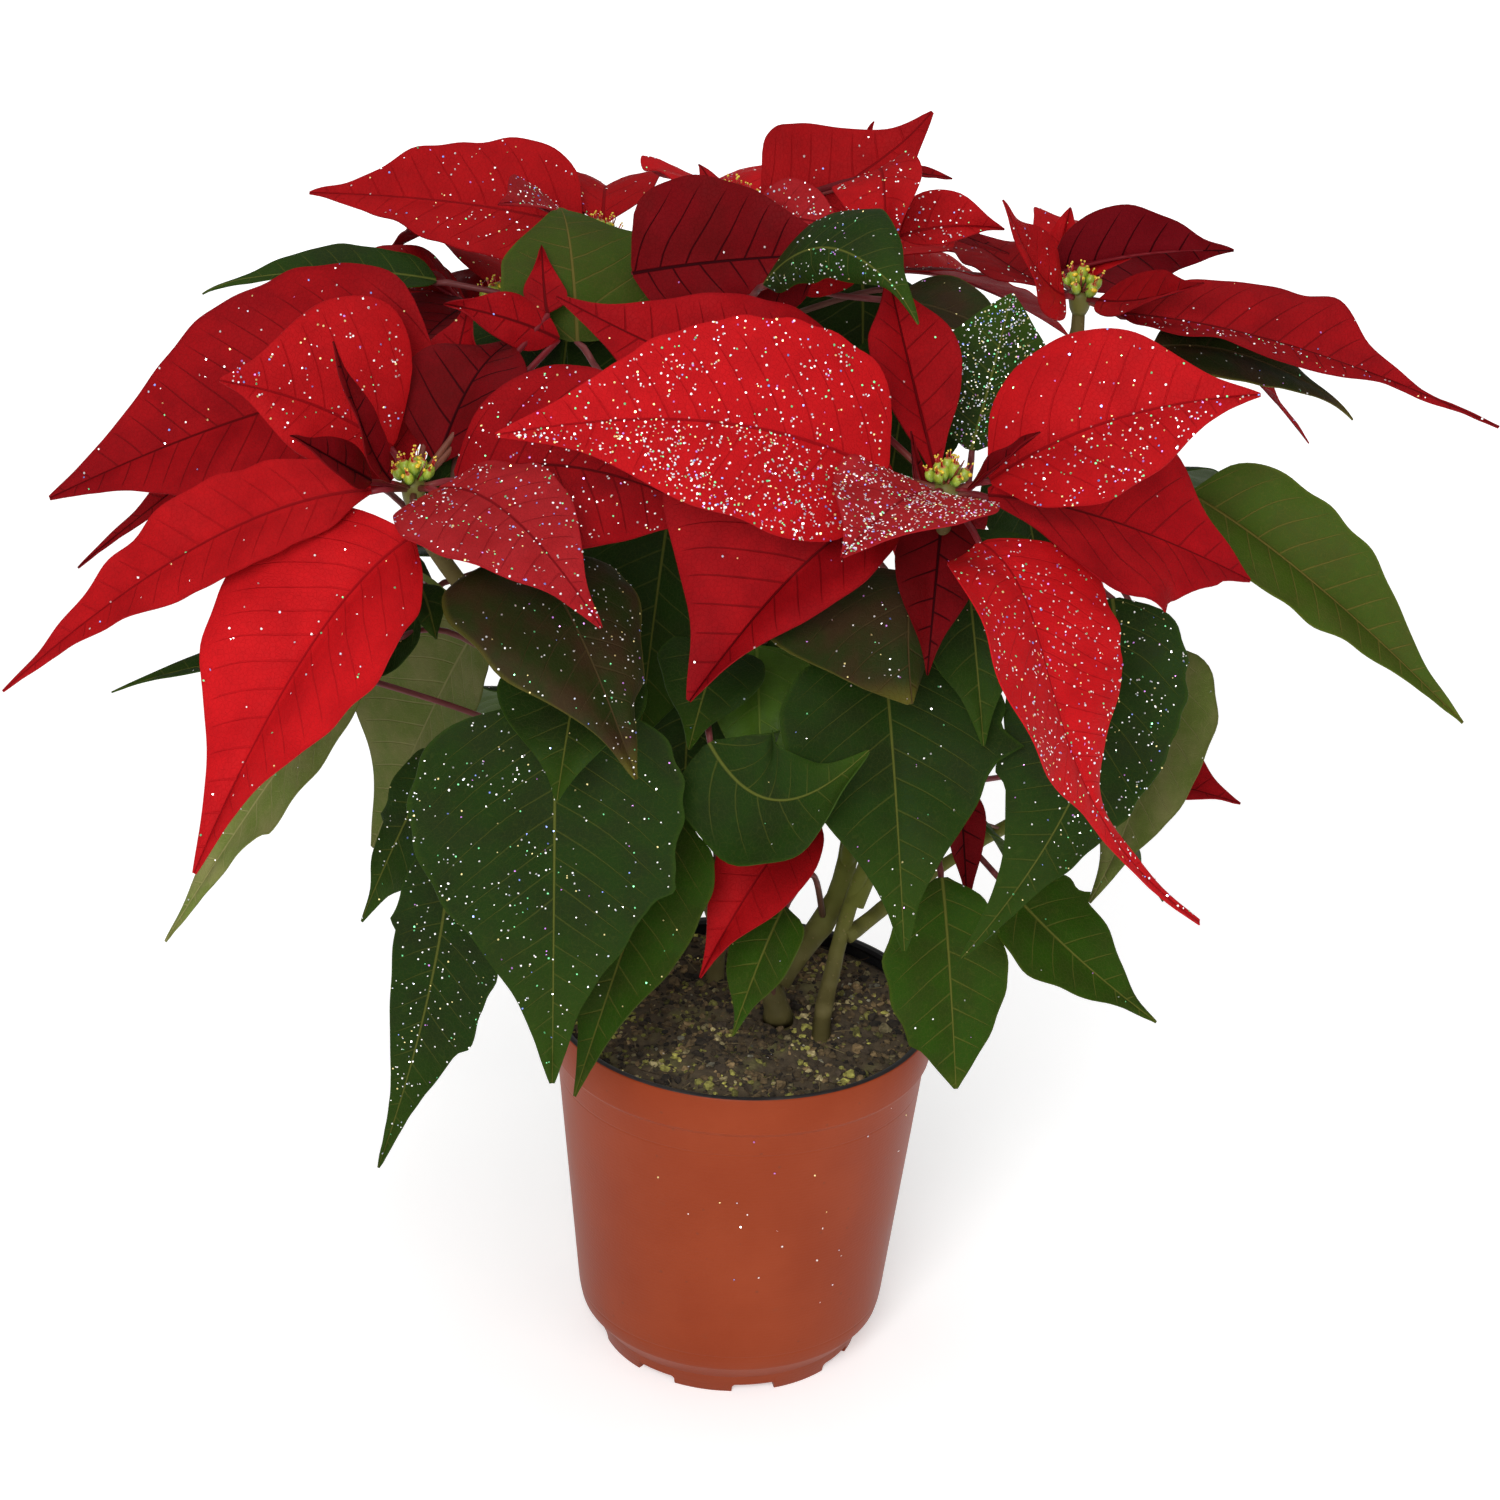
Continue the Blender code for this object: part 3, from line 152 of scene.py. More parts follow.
# The letters group the blades as they show. L is a leaf that shows from the front, K is one
# on the far side, and the others are bracts.
BLADES = (
    # Bracts that face the front.
    Blade("B1", "B", 66, (-78, -122, 376), 14, -55, kind="broad", stalk=19),
    Blade("A1", "A", 68, (-163, -130, 236), 16, -16, 18, sway=3, base=(-104, -90, 330)),
    Blade("B5", "B", 68, (136, -125, 232), 0, 6, 8, base=(64, -97, 340), kind="tail", near=(90, -125, 336),
          far=(76, -155, 284)),
    Blade("B3", "B", 56, (142, -94, 389), 9, 46, 16),
    Blade("A8", "A", 50, (-45, -150, 330), 14, 16, 10, skew=0.25),
    Blade("A4", "A", 76, (-227, -25, 312), 9, -58, 14, base=(-102, -36, 362), kind="broad", skew=0.05),
    Blade("A2", "A", 34, (-225, -110, 283), 16, -36, base=(-117, -90, 345)),
    Blade("A5", "A", 54, (-164, -84, 376), 5, -60, base=(-114, -66, 350), skew=0.35),
    Blade("B4", "B", 60, (148, -70, 321), 6, 34, 14, kind="late", lobes=((0.64, 1), (0.86, 1))),
    Blade("B10", "B", 76, (-20, -112, 291), 14, -46, 22, skew=0.5),
    Blade("A10", "A", 62, (-6, -92, 338), 14, 46, 10),
    Blade("B2", "B", 50, (22, -150, 355), 6, -8, skew=-0.15, stalk=8),
    Blade("G1", "B", 54, (-66, -46, 393), -6, -50, 10, base=(28, -54, 363)),
    Blade("B6", "B", 30, (33, -34, 403), 6, 0, 24, kind="late", stalk=8),
    Blade("A9", "A", 24, (-94, -32, 388), 2, base=(-101, -44, 346), kind="broad"),
    Blade("A11", "A", 17, (-101, -52, 393), 2, -50, 10, base=(-66, -36, 377)),
    Blade("A12", "A", 14, (-74, -20, 404), 2, 0, 16, base=(-70, -36, 386)),
    Blade("A6", "A", 13, (-126, -95, 391), 0, -60, 20, base=(-111, -86, 346), kind="lance"),
    Blade("A7", "A", 14, (-137, -106, 366), 0, -60, 20, base=(-117, -84, 345)),
    Blade("B7", "B", 8, (42, -85, 370), 0, 0, 24, kind="lance", stalk=5),
    Blade("B9", "B", 10, (78, -104, 378), 0, 30, 24, kind="lance", stalk=5),
    Blade("B11", "B", 32, (52, -36, 280), 14),
    Blade("C1", "C", 42, (227, -20, 356), 8, 14, 20, base=(112, 38, 368), kind="tail"),
    Blade("C2", "C", 38, (149, 58, 385), 4, -66, 10, base=(91, 62, 373)),
    Blade("C3", "C", 30, (70, 26, 406), 0, -56, stalk=7),
    Blade("C4", "C", 12, (96, 60, 399), 0, 0, 20, base=(92, 58, 376), kind="lance"),
    Blade("C5", "C", 22, (134, 6, 390), -3, 30, 20, stalk=6),
    Blade("D1", "D", 58, (47, 42, 429), -8, 56, 8, hook=2, kind="broad", skew=0.1, stalk=6),
    Blade("D2", "D", 22, (22, -12, 408), 2, 46, 10, base=(-10, 8, 403), skew=-0.2),
    Blade("D3", "D", 28, (34, -22, 396), 14, 26, 8, base=(30, 16, 418), skew=0.1),
    Blade("D4", "D", 20, (72, 30, 397), 3, 46, 16, base=(38, 26, 394), skew=-0.3),
    Blade("D5", "D", 28, (75, 46, 384), 2, 10, base=(24, 44, 398)),
    Blade("D6", "D", 8, (-27, 60, 405), 0, 0, 20, kind="lance", stalk=5),
    Blade("D8", "D", 5, (29, 60, 422), 0, 0, 16, base=(24, 56, 408), kind="lance"),
    Blade("D9", "D", 6, (55, 40, 411), 0, 20, 16, base=(40, 36, 413), kind="lance"),
    Blade("E3", "D", 40, (27, -18, 402), 2, 74, 6, base=(-45, -2, 387), kind="broad", skew=-0.35),
    Blade("G2", "D", 26, (-22, -4, 384), 2, -60, 6, base=(12, 6, 388)),
    Blade("E1", "E", 52, (-157, 60, 393), 4, -34, 16, base=(-66, 68, 381), kind="broad"),
    Blade("E2", "E", 34, (-89, 22, 400), 8, -20, 14, stalk=7),
    Blade("F1", "F", 34, (-14, -75, 178), 8, -24, 14, base=(20, -52, 228)),
    Blade("F4", "F", 20, (17, -56, 262), 0, 0, 18, stalk=6),
    Blade("F3", "F", 30, (-20, 28, 236), 6, -20, 16),
    Blade("G_a", "G", 32, (165, 20, 203), 2, 14, 16, skew=-0.2),
    Blade("G_b", "G", 17, (73, -18, 178), 4, -20, 16, base=(68, 0, 215)),
    Blade("G_c", "G", 34, (140, 94, 190), 8, 0, 16),
    # Green leaves that show.
    leaf("L15", "A", 84, (-58, -115, 160), (-61, -92, 281), 0.62, 6, lobes=((0.52, -1),), skew=0.06),
    leaf("L16", "A", 74, (-34, -140, 278), (-69, -94, 327), 0.9, 10, fold=8, roll=-6, lobes=((0.7, -1),),
         skew=0.2),
    leaf("L21", "B", 72, (49, -105, 207), (38, -66, 291), 0.6, 8, fold=8, lobes=((0.42, -1),)),
    leaf("L7", "C", 44, (222, -50, 268), (134, -15, 327), 0.75, 6, fold=30, roll=36),
    leaf("L23", "B", 56, (68, -90, 197), (108, -60, 309), 0.72, 8, fold=8, sway=-20, lobes=((0.6, 1),),
         skew=0.15, aim=-100),
    leaf("L14", "A", 37, (-116, -80, 105), (-94, -68, 219), 0.5, 6, sway=-6, lobes=((0.3, 1), (0.6, -1)),
         skew=-0.2, aim=-100),
    leaf("L10", "A", 38, (-187, -60, 174), (-124, -45, 272), 0.7, 4, fold=14, roll=-26,
         lobes=((0.55, -1),)),
    leaf("L18", "A", 44, (-52, -95, 144), (-24, -62, 228), 0.3, 6, fold=8, aim=-110),
    leaf("L20", "D", 44, (34, -100, 272), (-14, -78, 262), 0.42, -24, fold=6, roll=62, lobes=((0.5, -1),)),
    Blade("L22", "G", 42, (71, -60, 133), 5, 0, 8, base=(63, -34, 197), at=0.4, kind="oval",
          lobes=((0.8, 1),), skew=0.08),
    leaf("L25", "G", 38, (137, -42, 151), (87, -25, 188), 0.6, 2, sway=5, lobes=((0.35, -1),), aim=-62),
    Blade("L27", "B", 62, (46, -115, 295), 12, -12, -12, sway=4, base=(48, -78, 322), at=0.85, kind="oval",
          skew=0.6),
    leaf("L2", "D", 66, (-70, 42, 392), (-61, -10, 366), 0.85, 14, fold=-8, skew=0.3),
    leaf("L3", "D", 36, (42, -54, 392), (-4, -20, 390), 0.85, 13, fold=-8, roll=44, hook=-3, skew=-0.4),
    Blade("L5", "C", 40, (73, -14, 390), -2, 0, 10, base=(62, -46, 350), at=0.72, kind="oval"),
    leaf("L6", "C", 38, (188, 20, 345), (122, 26, 361), 0.9, 9, fold=14, roll=16, hook=-3, skew=0.3),
    leaf("L1", "E", 22, (-186, 36, 364), (-112, 58, 362), 0.9, 5, fold=16, roll=-20, hook=-3),
    leaf("L8", "A", 24, (-221, -4, 306), (-150, -14, 326), 0.86, 6, fold=12, roll=-26),
    leaf("L12", "E", 64, (-129, 20, 171), (-92, 8, 262), 0.55, 6, roll=8, skew=0.35, aim=-130),
    leaf("L13", "A", 38, (-126, -40, 174), (-100, -34, 234), 0.45, 4, fold=14, lobes=((0.5, 1),), skew=-0.5,
         aim=-120),
    leaf("L9", "A", 20, (-213, 0, 234), (-140, -8, 250), 0.6, 8, fold=20, roll=-10),
    leaf("L17", "A", 46, (-58, -124, 262), (-54, -88, 290), 0.72, 4, fold=8),
    leaf("L19", "D", 30, (-3, -62, 150), (12, -46, 190), 0.14, 3),
    leaf("L24", "C", 50, (114, -10, 178), (129, 10, 262), 0.6, 8, sway=-12),
    leaf("L28", "B", 34, (-6, -98, 300), (18, -62, 322), 0.8, 4),
    leaf("L29", "A", 34, (-20, -92, 266), (-12, -60, 286), 0.5, 4, roll=-10),
    leaf("L30", "D", 36, (3, -58, 232), (-1, -34, 276), 0.52, 4),
    leaf("L4", "D", 34, (77, -6, 370), (38, 10, 378), 0.9, 4, roll=10),
    Blade("L31", "A", 12, (-99, -72, 290), 3, 0, 10, base=(-106, -58, 302), at=0.72, kind="leaflet"),
    leaf("L11", "A", 30, (-150, -40, 246), (-108, -40, 288), 0.74, 3, roll=-50),
    Blade("L26", "G", 14, (86, -25, 200), 3, 0, 10, base=(74, -12, 208), at=0.7, kind="leaflet"),
    # Bracts of the far heads and leaves of the far side, which hardly show from the front.
    Blade("C7", "C", 34, (181, 62, 318), 14, 10, 14),
    Blade("C8", "C", 50, (122, 148, 350), 16, 0, 14),
    Blade("C9", "C", 40, (58, 118, 372), 4, 0, 14),
    Blade("D7", "D", 50, (-30, 112, 378), 8, 0, 14),
    Blade("E4", "E", 50, (-140, 150, 340), 14, 0, 14),
    Blade("E5", "E", 38, (-60, 140, 366), 6, 0, 16),
    Blade("H1", "H", 56, (20, 226, 310), 20, 0, 14),
    Blade("H2", "H", 54, (108, 192, 308), 18, 0, 14),
    Blade("H3", "H", 52, (-52, 214, 308), 18, 0, 14),
    Blade("H4", "H", 40, (86, 128, 350), 10, 0, 16),
    Blade("H5", "H", 36, (-30, 134, 352), 10, 0, 16),
    Blade("I1", "I", 54, (-206, 124, 290), 22, 0, 14),
    Blade("I2", "I", 52, (-176, 196, 284), 20, 0, 14),
    Blade("I3", "I", 50, (-96, 212, 296), 22, 0, 14),
    Blade("I5", "I", 36, (-148, 96, 356), 4, 0, 16),
    Blade("A3", "I", 30, (-223, 2, 277), 12, -20, 22),
    leaf("K1", "H", 60, (-30, 236, 232), (-6, 138, 268), 0.62, 16, lobes=((0.6, 1),)),
    leaf("K2", "H", 58, (82, 222, 216), (42, 128, 256), 0.5, 14, lobes=((0.55, -1),)),
    leaf("K3", "C", 56, (172, 142, 246), (118, 82, 296), 0.7, 16, fold=12),
    leaf("K4", "I", 58, (-178, 176, 185), (-108, 118, 240), 0.66, 16, lobes=((0.6, 1),)),
    leaf("K5", "H", 56, (10, 176, 142), (4, 104, 204), 0.3, 12),
    leaf("K6", "I", 54, (-116, 146, 142), (-66, 92, 204), 0.36, 12, lobes=((0.5, -1),)),
    leaf("K7", "G", 46, (150, 84, 132), (104, 66, 178), 0.8, 10),
    leaf("K8", "I", 48, (-192, 70, 206), (-114, 78, 244), 0.7, 14, fold=12),
)

# Ways that a blade may be bent: along the line of sight from the front, by roll and by rise,
# in millimetres and degrees. A blade with a base of its own moves it by a share of the way.
SIGHT = Vector((0.0, 0.9, -0.42))
BASE_SHARE = 0.5
SHIFTS = (0, 6, -6, 12, -12, 18, -18, 26, -26, 36, -36)
TURNS = (0, 12, -12)
LIFTS = (0, 7, -7)
# What a degree of roll counts against a blade's fit, in metres.
ROLL_COST = 0.15 * MM


@dataclass(frozen=True)
class Habit:
    """How the plant grows: the sizes that its blades, stalks and forks share, and their lines."""

    lobe_length: float = 0.1
    lobe_swell: float = 0.2
    lobe_step: float = 0.03
    near_lift: float = 1.2
    far_lift: float = 0.8
    hook_start: float = 0.8
    least_climb: float = -0.5
    most_climb: float = 0.35
    hub_radius: float = 3.4
    hub_height: float = 12.0
    hub_root: float = 0.4
    hub_gap: float = 0.4
    hub_clearance: float = 4.6
    stalk_radius: float = 1.15
    stalk_overlap: float = 5.0
    stalk_sag: float = 0.45
    upright_end: float = 5.0
    frame_step: float = 0.01

    def smooth_path(self, points: Sequence[Point], per_span: int) -> list[Vector]:
        """Finds points along a smooth curve through the given ones.

        Args:
            points: The points to pass through, in order.
            per_span: How many steps to take between two of them.

        Returns:
            The points of the curve, in millimetres.
        """
        knots = [Vector(p) for p in points]
        ends = [2 * knots[0] - knots[1], *knots, 2 * knots[-1] - knots[-2]]
        path = []
        for a, b, c, d in zip(ends, ends[1:], ends[2:], ends[3:]):
            for i in range(per_span):
                t = i / per_span
                square = (2 * a - 5 * b + 4 * c - d) * t ** 2
                cube = (3 * b - a - 3 * c + d) * t ** 3
                path.append(0.5 * (2 * b + (c - a) * t + square + cube))
        path.append(knots[-1])
        return path

    def fork_path(self, points: Sequence[Point], per_span: int = 4) -> list[Vector]:
        """Finds a fork's line, which ends upright under its flower head.

        Args:
            points: The fork's points, from the ground up.
            per_span: How many steps to take between two of them.

        Returns:
            The points of the line, in millimetres.
        """
        crown = Vector(points[-1])
        foot = crown - Vector((0, 0, self.upright_end))
        return self.smooth_path([*points[:-1], foot], per_span) + [crown]

    def fork_point(self, home: str, at: float) -> Vector:
        """Finds a point of a fork.

        Args:
            home: The letter of the fork's flower head.
            at: How far along it, from 0 at its foot to 1 under the head.

        Returns:
            The point, in millimetres.
        """
        points = next(forks[home][0] for forks in STEMS.values() if home in forks)
        path = self.fork_path(points)
        place = at * (len(path) - 1)
        low = min(int(place), len(path) - 2)
        return path[low].lerp(path[low + 1], place - low)

    def root_of(self, blade: Blade) -> Vector:
        """Finds where a blade's stalk leaves its stem or its hub.

        Args:
            blade: The blade.

        Returns:
            The point, in millimetres.
        """
        if blade.green:
            return self.fork_point(blade.home, blade.at)
        middle = self.hub_gap + self.hub_height * self.hub_root
        return self.fork_point(blade.home, 1.0) + Vector((0, 0, middle))

    def node_of(self, blade: Blade) -> str:
        """Names the solid that a blade belongs to.

        Args:
            blade: The blade.

        Returns:
            The solid's name.
        """
        if blade.green:
            return next(stem for stem, forks in STEMS.items() if blade.home in forks)
        return "bracts_" + blade.home

    def spine_controls(self, blade: Blade, root: Vector) -> tuple[Vector, ...]:
        """Finds the four Bezier points of a blade's midrib, and the way it heads.

        Args:
            blade: The blade.
            root: Where its stalk starts.

        Returns:
            The base, near, far and tip points, in millimetres, and a level unit vector.
        """
        tip = Vector(blade.tip)
        if blade.base:
            base = Vector(blade.base)
        else:
            out = Vector((tip.x - root.x, tip.y - root.y, 0))
            slope = (tip.z - root.z + 3 * blade.rise) / (out.length + 1)
            climb = max(self.least_climb, min(self.most_climb, slope))
            reach = max(blade.stalk, self.hub_radius + self.hub_clearance)
            base = root + (out.normalized() + Vector((0, 0, climb))) * reach
        along = tip - base
        heading = Vector((along.x, along.y, 0)).normalized()
        if blade.aim is not None:
            heading = Matrix.Rotation(math.radians(blade.aim), 3, "Z") @ Vector((1, 0, 0))
        side = heading.cross(Vector((0, 0, 1)))
        lift = Vector((0, 0, blade.rise))
        near = base + along / 3 + lift * self.near_lift + side * blade.sway
        far = base + along * 2 / 3 + lift * self.far_lift + side * blade.sway
        if blade.near:
            near, far = Vector(blade.near), Vector(blade.far)
        return base, near, far, tip, heading

    def spine_point(self, controls: Sequence[Vector], share: float, hook: float) -> Vector:
        """Finds a point of a midrib.

        Args:
            controls: What spine_controls found.
            share: How far along it, from 0 to 1.
            hook: How far the tip turns up, in millimetres.

        Returns:
            The point, in millimetres.
        """
        base, near, far, tip, _ = controls
        rest = 1 - share
        point = rest ** 3 * base + 3 * rest ** 2 * share * near
        point += 3 * rest * share ** 2 * far + share ** 3 * tip
        curl = max(0.0, (share - self.hook_start) / (1 - self.hook_start))
        return point + Vector((0, 0, hook * curl ** 2))

    def blade_frame(self, blade: Blade, controls: Sequence[Vector], share: float) -> tuple[Vector, ...]:
        """Finds a blade's place and directions at one share of its length.

        Args:
            blade: The blade.
            controls: Its midrib's points.
            share: How far along it, from 0 to 1.

        Returns:
            The midrib's point, the way to the blade's side, and the way up from its face.
        """
        here = self.spine_point(controls, share, blade.hook)
        ahead = self.spine_point(controls, min(1.0, share + self.frame_step), blade.hook)
        behind = self.spine_point(controls, max(0.0, share - self.frame_step), blade.hook)
        along = (ahead - behind).normalized()
        side = controls[4].cross(Vector((0, 0, 1)))
        side = (side - along * side.dot(along)).normalized()
        turn = math.radians(blade.roll)
        side = Matrix.Rotation(turn, 3, along) @ side
        return here, side, side.cross(along)

    def stalk_points(self, blade: Blade, controls: Sequence[Vector], root: Vector) -> list[Vector]:
        """Finds the line of a blade's stalk, which runs on into its midrib.

        Args:
            blade: The blade.
            controls: Its midrib's points.
            root: Where the stalk starts.

        Returns:
            The line's points, in millimetres.
        """
        base, near = controls[0], controls[1]
        onward = (near - base).normalized()
        end = base + onward * self.stalk_overlap
        if not blade.green:
            return [root, end]
        bend = base - onward * (base - root).length * self.stalk_sag
        return [root, 0.25 * root + 0.5 * bend + 0.25 * base, end]


# Small blades inside the crown, which fill the gaps that the photo shows dark.
INNER_BLADES = (
    Blade("J1", "D", 54, (-37, -36, 243), 6, base=(-30, -10, 318), at=0.62, kind="oval"),
    Blade("J2", "D", 52, (-2, -25.2, 230.96), 13, 12, base=(4, 1.4, 297.48), at=0.5, kind="oval"),
    leaf("J3", "B", 46, (70, -84, 268), (60, -62, 330), 0.74, 4, fold=12, roll=12),
    Blade("J4", "D", 44, (38, 4, 300), 6, base=(46, 32, 364), at=0.8, kind="oval"),
    Blade("J5", "A", 42, (-80, -28, 372), 11),
    Blade("J6", "I", 40, (-118, 24, 346), 6, base=(-100, 94, 342)),
    Blade("J7", "E", 38, (-92, -26, 328), 4, base=(-76, 14, 372), at=0.9, kind="oval"),
    Blade("J8", "D", 48, (30, 30, 330), 6, base=(28, 58, 372), at=0.86, kind="oval"),
    Blade("J13", "E", 40, (-44, -6, 330), 4, base=(-48, 24, 372), at=0.85, kind="oval"),
    Blade("J14", "A", 40, (-84, -59.6, 314.88), -3, base=(-90, -43.8, 358.44), at=0.9, kind="oval"),
    Blade("J9", "B", 26, (50, -111.4, 302.92), 2, base=(53, -77.7, 345.46)),
    leaf("J10", "C", 46, (96, -32, 232), (80, -2, 300), 0.5, 6, fold=12),
    leaf("J11", "A", 46, (-22, -39.2, 198.96), (-22, -20.6, 265.48), 0.5, 6, fold=12),
    Blade("J12", "D", 40, (12, -38.6, 259.48), 6, base=(22, -11.3, 304.74), at=0.55, kind="oval"),
    Blade("J15", "E", 30, (-70, 22, 316), 4, base=(-66, 50, 366), at=0.88, kind="oval"),
    leaf("J16", "C", 42, (94, -28, 274), (77, -8, 338), 0.62, 4, fold=12),
)


@dataclass
class Arrangement:
    """Finds how far each blade is bent to keep clear of its neighbours.

    The model's own source bends a blade along the line of sight, by roll and by rise. The
    bend that lies nearest the corners of the blade's solid is the one that it chose.
    """

    habit: Habit = field(default_factory=Habit)

    def corners(self, node: str) -> KDTree:
        """Makes a search tree of a solid's corners.

        Args:
            node: The solid's name.

        Returns:
            The tree, in metres.
        """
        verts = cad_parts[node].data.vertices
        tree = KDTree(len(verts))
        for vert in verts:
            tree.insert(vert.co, vert.index)
        tree.balance()
        return tree

    def candidates(self, blade: Blade) -> Iterator[Blade]:
        """Bends a blade in every way.

        Args:
            blade: The blade as drawn.

        Yields:
            The bent blade.
        """
        for shift, turn, lift in product(SHIFTS, TURNS, LIFTS):
            base = blade.base and tuple(Vector(blade.base) + SIGHT * shift * BASE_SHARE)
            tip = tuple(Vector(blade.tip) + SIGHT * shift)
            yield replace(blade, tip=tip, base=base, roll=blade.roll + turn, rise=blade.rise + lift)

    def misfit(self, blade: Blade, root: Vector, corners: KDTree) -> float:
        """Adds up how far a blade's outline lies from a solid's corners.

        Args:
            blade: The blade.
            root: Where its stalk starts.
            corners: The solid's corners.

        Returns:
            The sum of the distances, in metres.
        """
        controls = self.habit.spine_controls(blade, root)
        bend = math.radians(blade.fold)
        total = 0.0
        for share, width in OUTLINES[blade.kind][1:]:
            here, side, up = self.habit.blade_frame(blade, controls, share)
            for sign in (-1, 1):
                half = width * blade.width / 2 * (1 + sign * blade.skew)
                spot = here + side * (sign * half * math.cos(bend)) + up * (half * math.sin(bend))
                total += corners.find(spot * MM)[2]
        return total

    def placed_blades(self) -> list[Blade]:
        """Bends the blades as their solids are. The inner ones have none and stay as drawn.

        Returns:
            The blades in the table's order.
        """
        placed = []
        corners = {}
        for blade in BLADES:
            node, root = self.habit.node_of(blade), self.habit.root_of(blade)
            corners[node] = corners.get(node) or self.corners(node)
            misfits = {}
            for way in self.candidates(blade):
                turned = abs(way.roll - blade.roll) * ROLL_COST
                misfits[way] = self.misfit(way, root, corners[node]) + turned
            placed.append(min(misfits, key=misfits.get))
        return [*placed, *INNER_BLADES]


class Tree:
    """A material's node tree, with short calls that add nodes and join them."""

    def __init__(self, name: str) -> None:
        """Starts a material.

        Args:
            name: The material's name.
        """
        self.material = bpy.data.materials.new(name)
        self.material.use_nodes = True
        self.nodes = self.material.node_tree.nodes
        self.shader = self.nodes["Principled BSDF"]

    def feed(self, socket: Socket, value: Feed) -> None:
        """Joins a socket to another one, or sets its own value.

        Args:
            socket: The socket to feed.
            value: An output socket, a number, or a colour.
        """
        if isinstance(value, Socket):
            self.material.node_tree.links.new(value, socket)
        elif isinstance(value, tuple) and len(socket.default_value) == 4:
            socket.default_value = (*value, 1.0)
        else:
            socket.default_value = value

    def surface(self, **values: Feed) -> bpy.types.Material:
        """Feeds the shader's sockets, and gives the material.

        Args:
            values: What each socket gets, named with underscores for spaces.

        Returns:
            The material.
        """
        for name, value in values.items():
            self.feed(self.shader.inputs[name.replace("_", " ")], value)
        return self.material

    def add(self, kind: str, feeds: dict[Key, Feed], out: Key = 0, **settings: str) -> Socket:
        """Adds a node.

        Args:
            kind: Its type, without the word that they all start with.
            feeds: What its inputs get, by name or number.
            out: Which output is wanted.
            settings: Its other settings.

        Returns:
            The output.
        """
        node = self.nodes.new("ShaderNode" + kind)
        for name, setting in settings.items():
            setattr(node, name, setting)
        for name, value in feeds.items():
            self.feed(node.inputs[name], value)
        return node.outputs[out]

    def maths(self, operation: str, *values: Feed) -> Socket:
        """Adds a Math node."""
        return self.add("Math", dict(enumerate(values)), operation=operation)

    def scaled(self, value: Feed, factor: Feed, more: Feed = 0.0) -> Socket:
        """Multiplies a value by a factor and adds some more."""
        return self.maths("MULTIPLY_ADD", value, factor, more)

    def mix(self, factor: Feed, one: Feed, two: Feed, how: str = "MIX") -> Socket:
        """Adds a Mix node for colours, which blend the way that how says."""
        return self.add("Mix", {0: factor, 6: one, 7: two}, 2, data_type="RGBA", blend_type=how)

    def value(self, name: str) -> Socket:
        """Reads one of the mesh's number attributes."""
        return self.add("Attribute", {}, "Fac", attribute_name=name)

    def colour(self, name: str) -> Socket:
        """Reads one of the mesh's colour attributes."""
        return self.add("Attribute", {}, "Color", attribute_name=name)

    def uv(self, name: str) -> Socket:
        """Reads one of the mesh's UV maps."""
        return self.add("UVMap", {}, uv_map=name)

    def place(self) -> Socket:
        """Reads the place on the object, in metres."""
        return self.add("TexCoord", {}, "Object")

    def axes(self, vector: Feed) -> tuple[Socket, ...]:
        """Splits a vector into its X, Y and Z."""
        return tuple(self.add("SeparateXYZ", {0: vector}).node.outputs)

    def ease(self, value: Feed, low: float, high: float) -> Socket:
        """Eases a value from 0 at low to 1 at high."""
        return self.add("MapRange", {0: value, 1: low, 2: high}, interpolation_type="SMOOTHSTEP")

    def fall(self, value: Feed, low: float, high: float) -> Socket:
        """Eases a value from 1 at low to 0 at high."""
        return self.maths("SUBTRACT", 1.0, self.ease(value, low, high))

    def noise(self, vector: Feed, scale: float, detail: float = 2.0) -> Socket:
        """Adds a noise texture, with so many lumps to a unit and so many finer layers."""
        return self.add("TexNoise", {"Vector": vector, "Scale": scale, "Detail": detail})

    def cells(self, vector: Feed, scale: float, feature: str = "F1") -> Socket:
        """Adds a Voronoi texture, which gives the distance that feature names."""
        return self.add("TexVoronoi", {"Vector": vector, "Scale": scale}, "Distance", feature=feature)

    def bump(self, height: Feed, distance: float, strength: float = 1.0) -> None:
        """Gives the surface a relief, where a height of 1 is so many metres."""
        relief = {"Height": height, "Distance": distance, "Strength": strength}
        self.feed(self.shader.inputs["Normal"], self.add("Bump", relief))


